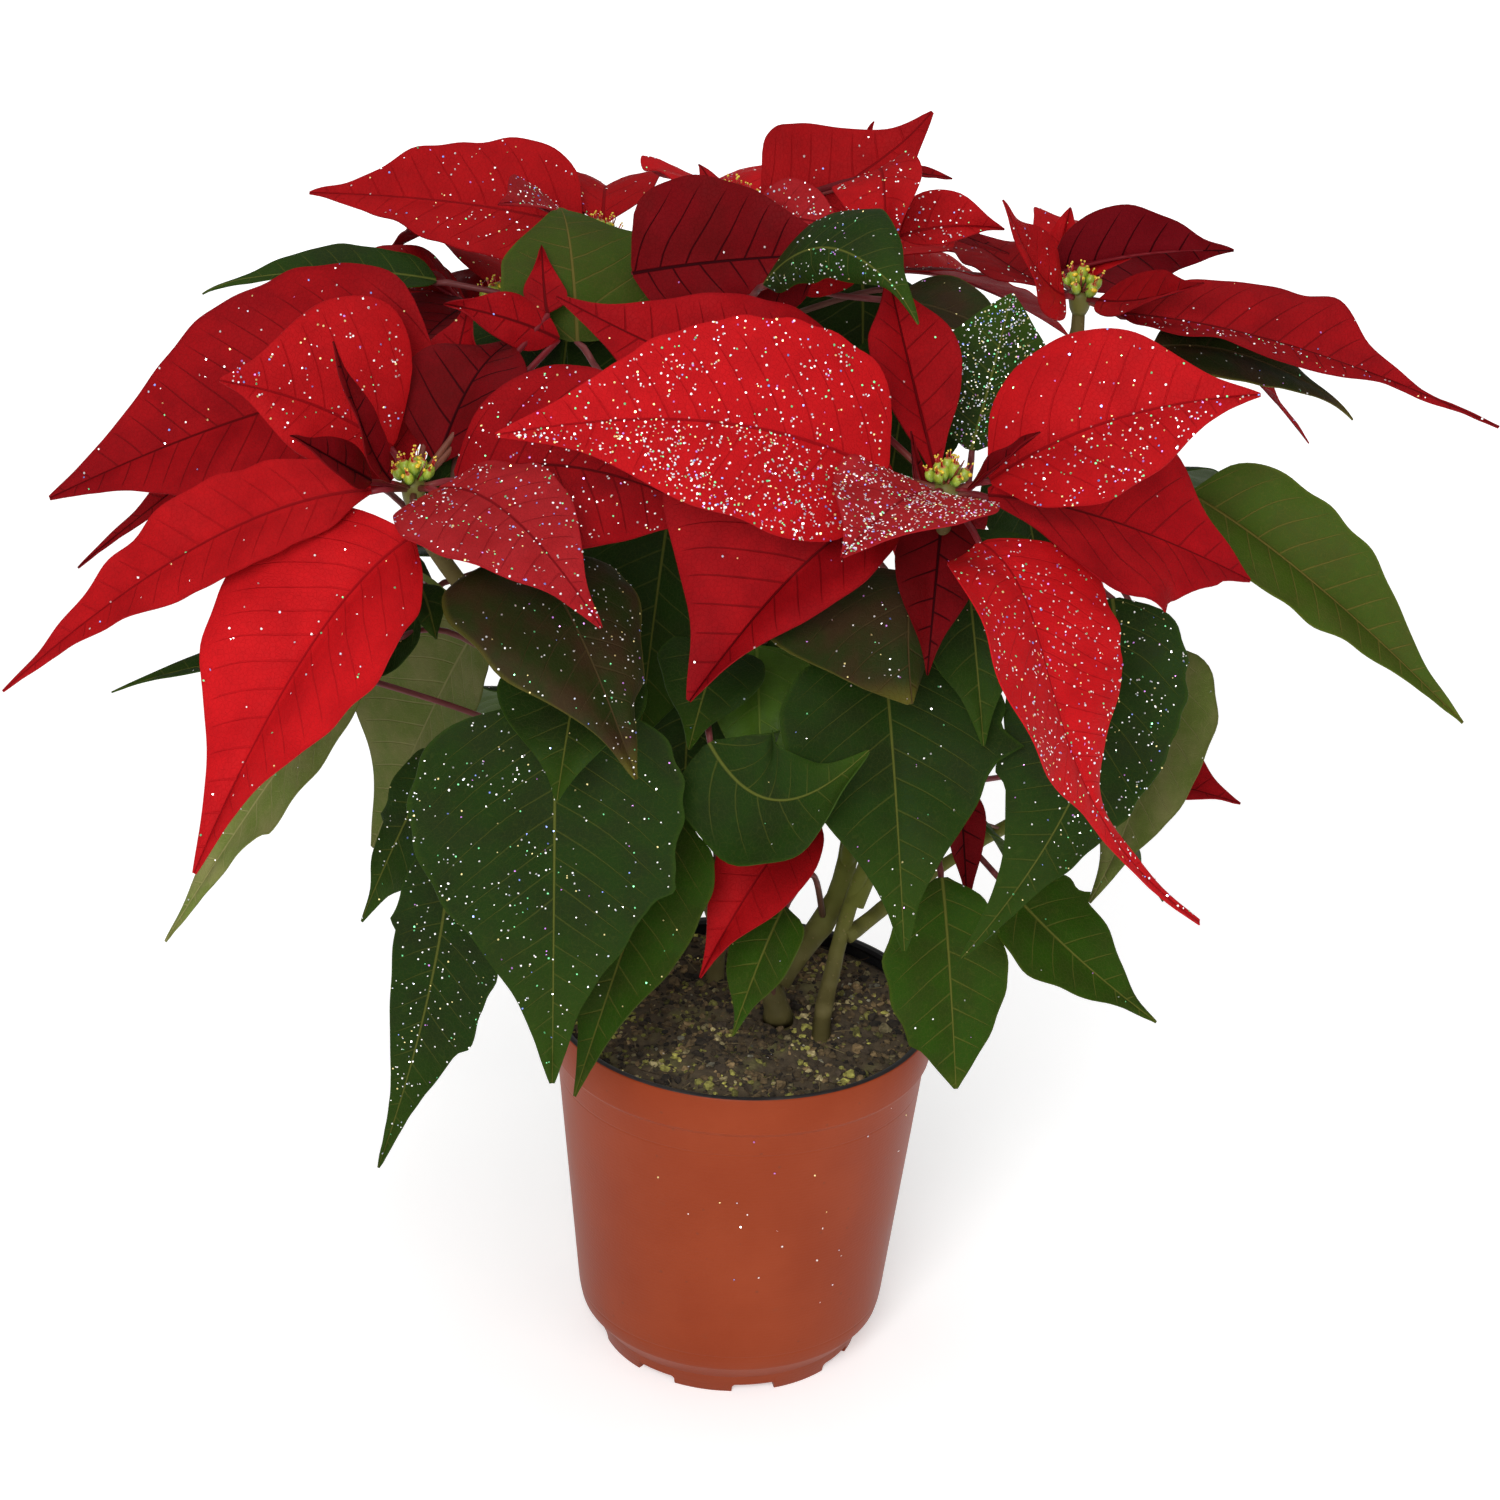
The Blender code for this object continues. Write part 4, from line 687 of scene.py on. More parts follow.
@dataclass(frozen=True)
class BladeFinish:
    """The look of one sort of blade, above and below, with its veins.

    The under colours belong to the lower face. tip is the colour that the point and the
    margin turn to, as far as tip_share says.
    """

    name: str
    top: Colour
    patch: Colour
    vein: Colour
    under: Colour
    under_vein: Colour
    tip: Colour
    tip_share: float = 0.3
    lateral: float = 0.5
    net: float = 0.15
    roughness: float = 0.5
    gloss: float = 0.04

    def material(self) -> bpy.types.Material:
        """Builds the material.

        Returns:
            The material, which reads the maps and attributes that Lamina writes.
        """
        tree = Tree(self.name)
        flat = tree.uv("flat")
        order, distance, _ = tree.axes(tree.uv("veins"))
        across = tree.maths("ABSOLUTE", tree.value("across"))
        share = tree.value("share")
        under = tree.value("under")
        # The midrib narrows towards the tip, and the side veins towards the margin.
        rib_width = tree.scaled(share, -0.6, 0.85)
        rib = tree.fall(tree.maths("DIVIDE", distance, rib_width), 0.35, 1.0)
        half_gap = tree.maths("PINGPONG", order, 0.5)
        line_width = tree.scaled(across, -0.035, 0.058)
        line = tree.fall(tree.maths("DIVIDE", half_gap, line_width), 0.25, 1.0)
        fade = tree.fall(across, 0.7, 0.98)
        side_veins = tree.scaled(line, fade)
        mesh_edge = tree.cells(flat, 7.5, feature="DISTANCE_TO_EDGE")
        fine = tree.fall(mesh_edge, 0.0, 0.09)
        blotch = tree.ease(tree.noise(flat, 0.7, 3.0), 0.35, 0.7)
        mottle = tree.noise(flat, 3.5, 5.0)
        veined = tree.maths("MAXIMUM", rib, tree.scaled(side_veins, self.lateral))
        veined = tree.maths("MAXIMUM", veined, tree.scaled(fine, self.net))
        margin = tree.scaled(tree.ease(across, 0.94, 1.0), 0.6)
        point = tree.maths("MAXIMUM", tree.ease(share, 1.0 - self.tip_share, 1.02), margin)
        top = tree.mix(blotch, self.top, self.patch)
        top = tree.mix(point, top, self.tip)
        top = tree.mix(veined, top, self.vein)
        below = tree.mix(point, self.under, self.tip)
        below = tree.mix(veined, below, self.under_vein)
        colour = tree.mix(under, top, below)
        # The brightness attribute scales the colour: painted light and shade on the listed blades, a varying
        # tone on the others; the mottle adds a random tone.
        light = tree.scaled(tree.value("tone_and_painted_light"), 0.5, 0.72)
        light = tree.scaled(mottle, 0.24, tree.maths("SUBTRACT", light, 0.12))
        lit = tree.add("VectorMath", {0: colour, "Scale": light}, operation="SCALE")
        rough = tree.scaled(mottle, 0.2, self.roughness - 0.1)
        tree.surface(Base_Color=lit, Roughness=rough, Specular_IOR_Level=self.gloss)
        groove = tree.scaled(side_veins, 0.7, tree.scaled(fine, 0.22))
        groove = tree.maths("MAXIMUM", groove, rib)
        turn = tree.scaled(under, 2.0, -1.0)
        tree.bump(tree.scaled(groove, turn), 0.00035, 0.8)
        return tree.material


class Dye(Enum):
    """The sorts of blade that the plant has. The deep red and the dark red are copies of the bright red with
    painted shade and painted shadow, for bracts that lie in shade, and the rose is a pinker copy with a
    painted sheen.
    """

    BRIGHT = BladeFinish(
        "bract_bright", top=(0.36, 0.005, 0.007), patch=(0.31, 0.004, 0.006), vein=(0.2, 0.002, 0.004),
        under=(0.21, 0.005, 0.009), under_vein=(0.07, 0.001, 0.003), tip=(0.29, 0.004, 0.006),
        lateral=0.34, net=0.12, roughness=0.6,
    )
    # Painted shade: the bright red darkened for bracts that lie in shade.
    DEEP_SHADED = BladeFinish(
        "bract_deep_shaded", top=(0.24, 0.003, 0.005), patch=(0.19, 0.002, 0.004), vein=(0.08, 0.001, 0.002),
        under=(0.17, 0.004, 0.007), under_vein=(0.04, 0.001, 0.002), tip=(0.16, 0.002, 0.004),
        lateral=0.6, net=0.12, roughness=0.6,
    )
    # Painted shadow: the red darkened further for bracts deep in the heads and under leaves.
    SHADOWED = BladeFinish(
        "bract_shadowed", top=(0.13, 0.002, 0.004), patch=(0.1, 0.002, 0.003), vein=(0.022, 0.0, 0.001),
        under=(0.125, 0.003, 0.006), under_vein=(0.022, 0.0, 0.001), tip=(0.11, 0.002, 0.003),
        lateral=0.95, net=0.1, roughness=0.6,
    )
    # Painted sheen: the red turned paler and pinker where bracts catch a glancing light.
    ROSE_SHEEN = BladeFinish(
        "bract_rose_sheen", top=(0.28, 0.012, 0.015), patch=(0.24, 0.008, 0.01), vein=(0.14, 0.003, 0.005),
        under=(0.19, 0.006, 0.01), under_vein=(0.07, 0.001, 0.003), tip=(0.22, 0.005, 0.008),
        lateral=0.4, net=0.15, roughness=0.65,
    )
    LEAF = BladeFinish(
        "leaf_dark", top=(0.011, 0.029, 0.003), patch=(0.012, 0.022, 0.004), vein=(0.075, 0.085, 0.014),
        under=(0.035, 0.06, 0.012), under_vein=(0.09, 0.11, 0.03), tip=(0.021, 0.047, 0.003),
        tip_share=0.5, lateral=0.42, net=0.12, roughness=0.55, gloss=0.05,
    )
    FRESH = BladeFinish(
        "leaf_fresh", top=(0.018, 0.048, 0.002), patch=(0.02, 0.037, 0.003), vein=(0.085, 0.09, 0.014),
        under=(0.045, 0.08, 0.014), under_vein=(0.1, 0.12, 0.03), tip=(0.04, 0.06, 0.004),
        tip_share=0.12, lateral=0.6, net=0.15, roughness=0.55, gloss=0.05,
    )
    OLIVE = BladeFinish(
        "leaf_olive", top=(0.033, 0.058, 0.005), patch=(0.036, 0.05, 0.006), vein=(0.1, 0.08, 0.016),
        under=(0.038, 0.062, 0.008), under_vein=(0.09, 0.075, 0.016), tip=(0.065, 0.085, 0.007),
        tip_share=0.14, lateral=0.7, net=0.18, roughness=0.55, gloss=0.05,
    )
    PURPLE = BladeFinish(
        "leaf_purple", top=(0.015, 0.023, 0.004), patch=(0.031, 0.017, 0.007), vein=(0.05, 0.033, 0.012),
        under=(0.04, 0.033, 0.015), under_vein=(0.065, 0.05, 0.02), tip=(0.08, 0.07, 0.009),
        tip_share=0.14, lateral=0.45, net=0.15, roughness=0.55, gloss=0.05,
    )
    PALE = BladeFinish(
        "leaf_pale", top=(0.1, 0.13, 0.026), patch=(0.15, 0.15, 0.05), vein=(0.2, 0.19, 0.07),
        under=(0.07, 0.09, 0.025), under_vein=(0.12, 0.13, 0.04), tip=(0.09, 0.1, 0.02),
        tip_share=0.12, lateral=0.7, net=0.25, roughness=0.6, gloss=0.05,
    )
    LIME = BladeFinish(
        "leaf_lime", top=(0.06, 0.13, 0.008), patch=(0.045, 0.09, 0.007), vein=(0.11, 0.17, 0.02),
        under=(0.07, 0.11, 0.015), under_vein=(0.12, 0.15, 0.03), tip=(0.09, 0.13, 0.01),
        tip_share=0.2, lateral=0.5, net=0.15, roughness=0.5, gloss=0.12,
    )


@dataclass(frozen=True)
class Dress:
    """How one blade is finished: its dye, its glitter, and how its margins behave.

    glitter is flakes to a square centimetre on the two halves, side -1 first. curl rolls
    each half's margin down, and ruffle is how far the margins wave, in millimetres. The last
    field scales the blade's colour: for the listed blades it is painted light and shade, set to
    how brightly each one is lit where it lies, and for the others a tone that varies at random.
    """

    dye: Dye
    glitter: Sequence[float]
    curl: tuple[float, float] = (0.0, 0.0)
    ruffle: float = 1.3
    tone_and_painted_light: float = 0.4


# The blades of each dye: glitter on the half on side -1, glitter on the other, and brightness, which is
# painted light and shade.
DRESSES = {
    Dye.BRIGHT: {
        "B1": (34, 12, 0.6), "A1": (1.0, 0.8, 0.8), "B5": (11, 9, 1.0), "B3": (3, 13, 0.5),
        "A2": (0.5, 0.5, 0.25), "A5": (7, 7, 0.3), "C3": (2.5, 2.5, 0.3), "D1": (1.0, 2.5, 0.0),
        "D8": (0, 0, 0.0), "D3": (8, 8, 0.2), "D4": (9, 12, 0.3), "E1": (3, 3, 0.25),
        "F1": (0.1, 0.1, 0.2),
    },
    Dye.ROSE_SHEEN: {
        "A8": (9, 9, 0.6), "B2": (34, 34, 0.6), "D2": (22, 22, 0.6), "E2": (10, 10, 0.5),
    },
    Dye.DEEP_SHADED: {
        "A4": (0.3, 1.2, 0.5), "B4": (0.1, 0.1, 1.0), "B10": (0.5, 0.4, 0.5), "A10": (5, 7, 0.45),
        "G1": (0.2, 0.2, 0.9), "B6": (0.2, 0.2, 0.5), "A9": (0.6, 0.6, 0.6), "A11": (0.8, 0.8, 0.6),
        "A12": (0, 0, 0.6), "C1": (0.5, 7, 0.5), "C5": (0.5, 1, 0.4), "D9": (0, 0, 0.3),
        "A3": (0, 0, 0.4),
    },
    Dye.SHADOWED: {
        "A6": (0, 0, 0.4), "A7": (0, 0, 0.4), "B7": (0, 0, 0.4), "B9": (0, 0, 0.4), "C2": (0, 0, 0.7),
        "D5": (0.5, 0.5, 0.9), "E3": (0.2, 0.2, 0.6), "G2": (0.5, 0.5, 0.7), "G_b": (0.1, 0.1, 0.6),
    },
    Dye.LEAF: {
        "L15": (2.5, 7, 0.3), "L21": (1.5, 0.6, 0.4), "L23": (10, 2, 0.3), "L14": (6, 6, 0.2),
        "L20": (0.8, 0.8, 0.5), "L3": (4, 14, 0.3), "L5": (52, 52, 0.6), "L1": (0.3, 0.3, 0.5),
        "L13": (5, 5, 0.5), "L9": (0.5, 0.5, 0.5), "L17": (0.8, 0.8, 0.4), "L28": (0.4, 0.4, 0.3),
        "L29": (0.4, 0.4, 0.2), "L11": (0.5, 0.5, 0.2),
    },
    Dye.PURPLE: {
        "L16": (9, 3, 0.35), "L27": (3, 3, 0.5), "L6": (2, 2, 0.6), "L4": (2, 2, 0.4),
    },
    Dye.OLIVE: {
        "L7": (0, 0, 0.7), "L2": (0, 0, 0.3),
    },
    Dye.PALE: {
        "L10": (0.4, 0.4, 0.9), "L12": (0.1, 0.1, 0.3), "L24": (0.2, 0.2, 0.3),
    },
    Dye.FRESH: {
        "L18": (0.8, 0.8, 0.2), "L22": (0.3, 0.3, 0.5), "L25": (0.3, 0.3, 0.6), "L8": (1.5, 1.5, 0.5),
        "L19": (0.2, 0.2, 0.6),
    },
    Dye.LIME: {
        "L30": (0.1, 0.1, 0.3),
    },
}
# The margins that curl or ruffle more than usual, and what each plain blade's brightness goes up by, a tone
# that varies from blade to blade.
CURLS = {"L16": (0.2, 0.3), "L27": (0.5, 0.0), "L3": (0.3, 0.5)}
RUFFLES = {"B1": 1.0, "A9": 3.0, "A11": 3.0, "L20": 2.5}
SHADE_STEP = 0.618


def dress_of(blade: Blade, order: int) -> Dress:
    """Finds how a blade is finished.

    Args:
        blade: The blade.
        order: Its place in the table, which varies the plain ones.

    Returns:
        Its own dress, or one that its neighbours could have.
    """
    for dye, blades in DRESSES.items():
        if blade.name in blades:
            *glitter, tone_and_painted_light = blades[blade.name]
            return Dress(dye, glitter, CURLS.get(blade.name, (0, 0)), RUFFLES.get(blade.name, 1.3), tone_and_painted_light)
    # Inner blades get a low brightness, and inner bracts the darkest red: painted shadow deep in the crown.
    if blade in INNER_BLADES:
        return Dress(Dye.LEAF if blade.green else Dye.SHADOWED, (0.1, 0.1), tone_and_painted_light=0.3)
    tone_and_painted_light = (order * SHADE_STEP) % 1.0
    if blade.green:
        return Dress(Dye.LEAF if order % 3 else Dye.FRESH, (0.6, 0.6), tone_and_painted_light=tone_and_painted_light)
    # Plain bracts alternate between the bright red and its darker copy with painted shade.
    return Dress(Dye.BRIGHT if order % 2 else Dye.DEEP_SHADED, (1.5, 1.5), tone_and_painted_light=tone_and_painted_light)


def linked(name: str, data: bpy.types.ID) -> bpy.types.Object:
    """Puts an object in the scene.

    Args:
        name: Its name.
        data: Its mesh, light or camera.

    Returns:
        The object.
    """
    made = bpy.data.objects.new(name, data)
    bpy.context.scene.collection.objects.link(made)
    return made


def mesh_of(name: str, bm: bmesh.types.BMesh) -> bpy.types.Mesh:
    """Turns a mesh under construction into a finished one.

    Args:
        name: Its name.
        bm: Its shape in metres, which is freed.

    Returns:
        The finished mesh.
    """
    mesh = bpy.data.meshes.new(name)
    bm.to_mesh(mesh)
    bm.free()
    return mesh


def pour(part: bmesh.types.BMesh, whole: bmesh.types.BMesh) -> None:
    """Adds one mesh under construction to another.

    Args:
        part: What is added, and freed.
        whole: What it is added to.
    """
    mesh = mesh_of("part", part)
    whole.from_mesh(mesh)
    bpy.data.meshes.remove(mesh)


def tag(verts: Sequence[bmesh.types.BMVert], layer: bmesh.types.BMLayerItem, value: Feed) -> None:
    """Writes one value on a layer of some vertices."""
    for vert in verts:
        vert[layer] = value


def layered(*names: str) -> bmesh.types.BMesh:
    """Starts a mesh under construction.

    Args:
        names: Its number layers.

    Returns:
        The mesh.
    """
    bm = bmesh.new()
    for name in names:
        bm.verts.layers.float.new(name)
    return bm


def smoothed(bm: bmesh.types.BMesh) -> bmesh.types.BMesh:
    """Turns the faces outwards and shades them smooth.

    Args:
        bm: The mesh under construction.

    Returns:
        The same mesh.
    """
    bmesh.ops.recalc_face_normals(bm, faces=bm.faces)
    for face in bm.faces:
        face.smooth = True
    return bm


def new_piece(name: str, mesh: bpy.types.Mesh, *materials: bpy.types.Material) -> bpy.types.Object:
    """Makes a piece of a mesh that is in place.

    Args:
        name: The piece's name.
        mesh: Its shape in metres.
        materials: What its faces' material numbers mean.

    Returns:
        The piece, which rides on the frame.
    """
    for material in materials:
        mesh.materials.append(material)
    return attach(linked(name, mesh), "root")


def spun(profile: Sequence[tuple[float, float]], steps: int) -> bmesh.types.BMesh:
    """Spins a profile round the upright axis into a closed solid.

    Args:
        profile: Pairs of radius and height in millimetres, whose ends lie on the axis.
        steps: How many steps the turn has.

    Returns:
        The solid, in metres.
    """
    bm = bmesh.new()
    chain = [bm.verts.new((x * MM, 0, z * MM)) for x, z in profile]
    edges = [bm.edges.new(pair) for pair in zip(chain, chain[1:])]
    bmesh.ops.spin(
        bm, geom=chain + edges, cent=(0, 0, 0), axis=(0, 0, 1), angle=math.tau, steps=steps, use_merge=True
    )
    bmesh.ops.remove_doubles(bm, verts=bm.verts, dist=0.01 * MM)
    return smoothed(bm)


def rod(
    bm: bmesh.types.BMesh, sides: int, radii: Sequence[float], length: float, place: Matrix
) -> Sequence[bmesh.types.BMVert]:
    """Adds a closed rod, in metres.

    Args:
        bm: What it is added to.
        sides: How many sides it has.
        radii: Its radius at the foot and at the top.
        length: Its length.
        place: Where its middle stands, and which way it points.

    Returns:
        Its vertices.
    """
    return bmesh.ops.create_cone(
        bm, cap_ends=True, segments=sides, radius1=radii[0], radius2=radii[1], depth=length, matrix=place
    )["verts"]


def sweep(
    bm: bmesh.types.BMesh,
    line: Sequence[Vector],
    radii: Sequence[float],
    shares: Sequence[float],
    sides: int = 8,
) -> None:
    """Extrudes a round section along a line, closed at both ends.

    Args:
        bm: What it is added to, with a number layer called share.
        line: The points of the line, in millimetres.
        radii: The radius at each of them.
        shares: What the share layer holds there.
        sides: How many sides the section has.
    """
    layer = bm.verts.layers.float["share"]
    last = len(line) - 1
    ways = [(line[min(i + 1, last)] - line[max(i - 1, 0)]).normalized() for i in range(last + 1)]
    one = ways[0].orthogonal().normalized()
    ring = bmesh.ops.create_circle(bm, cap_ends=True, segments=sides, radius=1.0)["verts"]
    face = ring[0].link_faces[0]
    for k, (point, way, radius, share) in enumerate(zip(line, ways, radii, shares)):
        if k:
            made = bmesh.ops.extrude_face_region(bm, geom=[face])["geom"]
            face = next(part for part in made if isinstance(part, bmesh.types.BMFace))
        one = (one - way * one.dot(way)).normalized()
        two = way.cross(one)
        for corner, vert in enumerate(face.verts):
            turn = math.tau * corner / sides
            vert.co = (point + (one * math.cos(turn) + two * math.sin(turn)) * radius) * MM
            vert[layer] = share


@dataclass
class Lamina:
    """One fine leaf or bract, shaped from a flat closed slab.

    thickness, quilt and wave are in millimetres, as are the gaps and slants of its veins.
    """

    blade: Blade
    dress: Dress
    habit: Habit
    order: int
    thickness: float = 0.45
    row_length: float = 2.0
    column_width: float = 3.2
    most_rows: int = 64
    most_columns: int = 18
    vein_gap: float = 9.0
    vein_slant: float = 0.55
    vein_bend: float = 0.006
    quilt: float = 0.4
    wave: float = 0.8
    outline_steps: int = 8
    rib_cover: float = 0.05
    leaf_notch: float = 0.055
    bract_notch: float = 0.03
    notch_length: float = 14.0
    ruffle_length: float = 21.0
    wave_length: float = 34.0
    curl_start: float = 0.45
    seed: int = 11

    def __post_init__(self) -> None:
        """Finds the midrib, and how fine the slab has to be."""
        self.root = self.habit.root_of(self.blade)
        self.controls = self.habit.spine_controls(self.blade, self.root)
        fine = [self.habit.spine_point(self.controls, k / 20, self.blade.hook) for k in range(21)]
        self.length = sum((b - a).length for a, b in zip(fine, fine[1:]))
        self.rows = int(min(self.most_rows, max(12, self.length / self.row_length)))
        columns = int(min(self.most_columns, max(6, self.blade.width / self.column_width)))
        self.columns = columns + columns % 2
        self.rng = np.random.default_rng(self.order + self.seed)

    def ripple(self, along: np.ndarray, out: np.ndarray, length: float) -> np.ndarray:
        """Gives soft waves over the blade, different on each.

        Args:
            along: Distances along it, in millimetres.
            out: Distances from its midrib.
            length: A usual length of a wave.

        Returns:
            Heights between -1 and 1.
        """
        total = np.zeros_like(along)
        for _ in range(4):
            turn = self.rng.uniform(0, math.tau)
            reach = math.tau / (length * self.rng.uniform(0.7, 1.5))
            phase = self.rng.uniform(0, math.tau)
            total += np.sin(reach * (along * math.cos(turn) + out * math.sin(turn)) + phase)
        return total / 4

    def half_widths(self, shares: np.ndarray, side: int) -> np.ndarray:
        """Finds the half width on one side, on a smooth outline.

        Args:
            shares: Shares of the blade's length.
            side: 1 or -1.

        Returns:
            The half widths, in millimetres.
        """
        blade = self.blade
        knots = [(share, width, 0.0) for share, width in OUTLINES[blade.kind]]
        curve = self.habit.smooth_path(knots, self.outline_steps)
        half = np.interp(shares, [p.x for p in curve], [max(p.y, 0.015) for p in curve])
        half *= blade.width / 2 * (1 + side * blade.skew)
        for place, where in blade.lobes:
            if where == side:
                start, end = place - self.habit.lobe_length, place + self.habit.lobe_step
                tent = np.interp(shares, (start, place, end), (0.0, 1.0, 0.0))
                half *= 1 + self.habit.lobe_swell * tent ** 1.5
        along = shares * self.length
        notch = self.leaf_notch if blade.green else self.bract_notch
        return half * (1 + notch * self.ripple(along, along * 0 + 9 * side, self.notch_length))

    def surface(self) -> None:
        """Works out the blade's upper face: its points, normals and vein places, by row and column."""
        blade, dress = self.blade, self.dress
        shares = np.linspace(0, 1, self.rows + 1)
        frames = [self.habit.blade_frame(blade, self.controls, t) for t in shares.tolist()]
        here, side, up = (np.array([f[k] for f in frames])[:, None, :] for k in range(3))
        across = np.linspace(-1, 1, self.columns + 1)[None, :]
        reach = np.abs(across)
        right = across > 0
        half = np.where(right, self.half_widths(shares, 1)[:, None], self.half_widths(shares, -1)[:, None])
        self.out = half * reach
        self.along = np.repeat(shares[:, None] * self.length, self.columns + 1, axis=1)
        order = self.along - self.vein_slant * self.out - self.vein_bend * self.out ** 2
        self.vein_order = order / self.vein_gap + 0.12 * self.ripple(self.along, self.out, 30.0)
        bend = math.radians(blade.fold)
        lift = half * math.sin(bend) * (1.5 * reach - 0.5 * reach ** 2)
        lateral = self.out * math.cos(bend)
        middle = np.sin(np.pi * shares)[:, None] ** 0.6
        signed = self.out * np.sign(across)
        ruffled = self.ripple(self.along, signed * 0.3, self.ruffle_length)
        lift += dress.ruffle * reach ** 2.5 * middle * 2.0 * ruffled
        waved = self.ripple(self.along, signed, self.wave_length)
        lift += self.wave * np.minimum(1, 2 * reach) * middle * 2.0 * waved
        shift = np.where(right, 0.5, 0.0)
        pillow = np.sin(np.pi * (self.vein_order + shift)) ** 2
        lift += self.quilt * pillow * np.minimum(1, 5 * reach) * (1 - reach ** 4) * middle
        outer = np.maximum(0, (reach - self.curl_start) / (1 - self.curl_start))
        rolled = np.where(right, dress.curl[1], dress.curl[0]) * outer ** 2
        lift -= half * 0.7 * rolled
        lateral -= half * 0.3 * rolled
        self.points = here + side * (lateral * np.sign(across))[:, :, None] + up * lift[:, :, None]
        normal = np.cross(np.gradient(self.points, axis=1), np.gradient(self.points, axis=0))
        size = np.linalg.norm(normal, axis=2, keepdims=True)
        self.normals = np.where(size > 1e-6, normal / np.maximum(size, 1e-6), up)

    def build(self, materials: dict[Dye, bpy.types.Material]) -> bpy.types.Object:
        """Shapes the blade and writes the maps that its material reads.

        Args:
            materials: The material of each dye.

        Returns:
            The piece.
        """
        self.surface()
        bm = bmesh.new()
        bmesh.ops.create_grid(bm, x_segments=self.rows, y_segments=self.columns, size=1.0)
        bmesh.ops.solidify(bm, geom=bm.faces[:], thickness=0.1)
        mesh = mesh_of(self.blade.piece, bm)
        mesh.shade_smooth()
        flat = np.empty(len(mesh.vertices) * 3)
        mesh.vertices.foreach_get("co", flat)
        flat = flat.reshape(-1, 3)
        row = np.rint((flat[:, 0] + 1) / 2 * self.rows).astype(int)
        column = np.rint((1 - flat[:, 1]) / 2 * self.columns).astype(int)
        under = (flat[:, 2] < -0.05).astype(float)
        place = self.points[row, column] - self.normals[row, column] * (under * self.thickness)[:, None]
        mesh.vertices.foreach_set("co", (place * MM).ravel())
        across = column / self.columns * 2 - 1
        # The brightness attribute carries the painted light and shade of the blade's dress.
        for name, values in (
            ("across", across),
            ("share", row / self.rows),
            ("under", under),
            ("tone_and_painted_light", np.full(len(row), self.dress.tone_and_painted_light)),
        ):
            mesh.attributes.new(name, "FLOAT", "POINT").data.foreach_set("value", values.astype(np.float32))
        corner = np.empty(len(mesh.loops), dtype=np.int32)
        mesh.loops.foreach_get("vertex_index", corner)
        right = across[corner].reshape(-1, 4).mean(axis=1) > 0
        shift = np.where(np.repeat(right, 4), 0.5, 0.0)
        along, out = self.along[row, column][corner], self.out[row, column][corner]
        veins = np.stack([self.vein_order[row, column][corner] + shift, out], axis=1)
        spread = np.stack([out * np.sign(across[corner]) / 10, along / 10 + self.order * 3.0], axis=1)
        for name, values in (("veins", veins), ("flat", spread)):
            mesh.uv_layers.new(name=name).uv.foreach_set("vector", values.astype(np.float32).ravel())
        mesh.update()
        mesh.set_sharp_from_angle(angle=math.radians(60))
        piece = new_piece(self.blade.piece, mesh, materials[self.dress.dye])
        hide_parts(self.habit.node_of(self.blade))
        return piece

    def rib(self) -> tuple[list[Vector], list[float], list[float]]:
        """Finds the line of the stalk, on along the underside of the midrib.

        Returns:
            The points, the radii, and the shares of the blade reached, below 0 on the stalk.
        """
        blade = self.blade
        slim = 0.55 if blade.kind in ("lance", "leaflet") else 1.0
        thick = self.habit.stalk_radius * slim
        stalk = self.habit.stalk_points(blade, self.controls, self.root)
        base = self.controls[0]
        curve = self.habit.smooth_path([*stalk[:-1], base], 7 if blade.green else 4)
        line = curve[:-1]
        radii = [thick * (1.0 - 0.12 * math.sin(math.pi * k / len(line))) for k in range(len(line))]
        shares = [k / len(line) - 1.0 for k in range(len(line))]
        middle = self.columns // 2
        for k in range(0, int(self.rows * 0.9), max(1, self.rows // 14)):
            share = k / self.rows
            radius = thick * (0.75 * (1 - share) ** 1.3 + 0.12)
            sunk = self.points[k, middle] - self.normals[k, middle] * (radius + self.rib_cover)
            line.append(Vector(sunk))
            radii.append(radius)
            shares.append(share)
        return line, radii, shares

    def scatter(self, density: Sequence[float]) -> list[Spot]:
        """Picks places for glitter on the upper face.

        Args:
            density: Flakes to a square centimetre on each half.

        Returns:
            Points and normals, in millimetres.
        """
        spots = []
        area = np.linalg.norm(
            np.cross(np.diff(self.points, axis=0)[:, :-1], np.diff(self.points, axis=1)[:-1]), axis=2
        )
        halves = np.repeat(density, self.columns // 2)
        chance = area * halves[None, :] / 100
        # Glitter falls unevenly, so patches of the blade get more of it.
        patchy = 1 + 0.75 * self.ripple(self.along, self.out * 2, 26.0)[:-1, :-1]
        chance = chance * np.clip(patchy, 0.2, 2.0)
        counts = self.rng.poisson(chance)
        for row, column in zip(*np.nonzero(counts)):
            for _ in range(counts[row, column]):
                u, v = self.rng.uniform(0, 1, 2)
                share = [(1 - u) * (1 - v), (1 - u) * v, u * (1 - v), u * v]
                corners = [(row, column), (row, column + 1), (row + 1, column), (row + 1, column + 1)]
                point = sum(self.points[c] * s for c, s in zip(corners, share))
                normal = sum(self.normals[c] * s for c, s in zip(corners, share))
                spots.append((Vector(point), Vector(normal)))
        return spots


@dataclass
class Stalks:
    """The stalks of the blades of one solid, which run on under the blades as their midribs."""

    node: str
    laminas: list[Lamina]

    def build(self, material: bpy.types.Material) -> bpy.types.Object:
        """Sweeps every stalk.

        Args:
            material: Its material.

        Returns:
            The piece.
        """
        bm = layered("share")
        for lamina in self.laminas:
            sweep(bm, *lamina.rib())
        piece = new_piece("stalks_" + self.node, mesh_of("stalks", smoothed(bm)), material)
        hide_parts(self.node)
        return piece


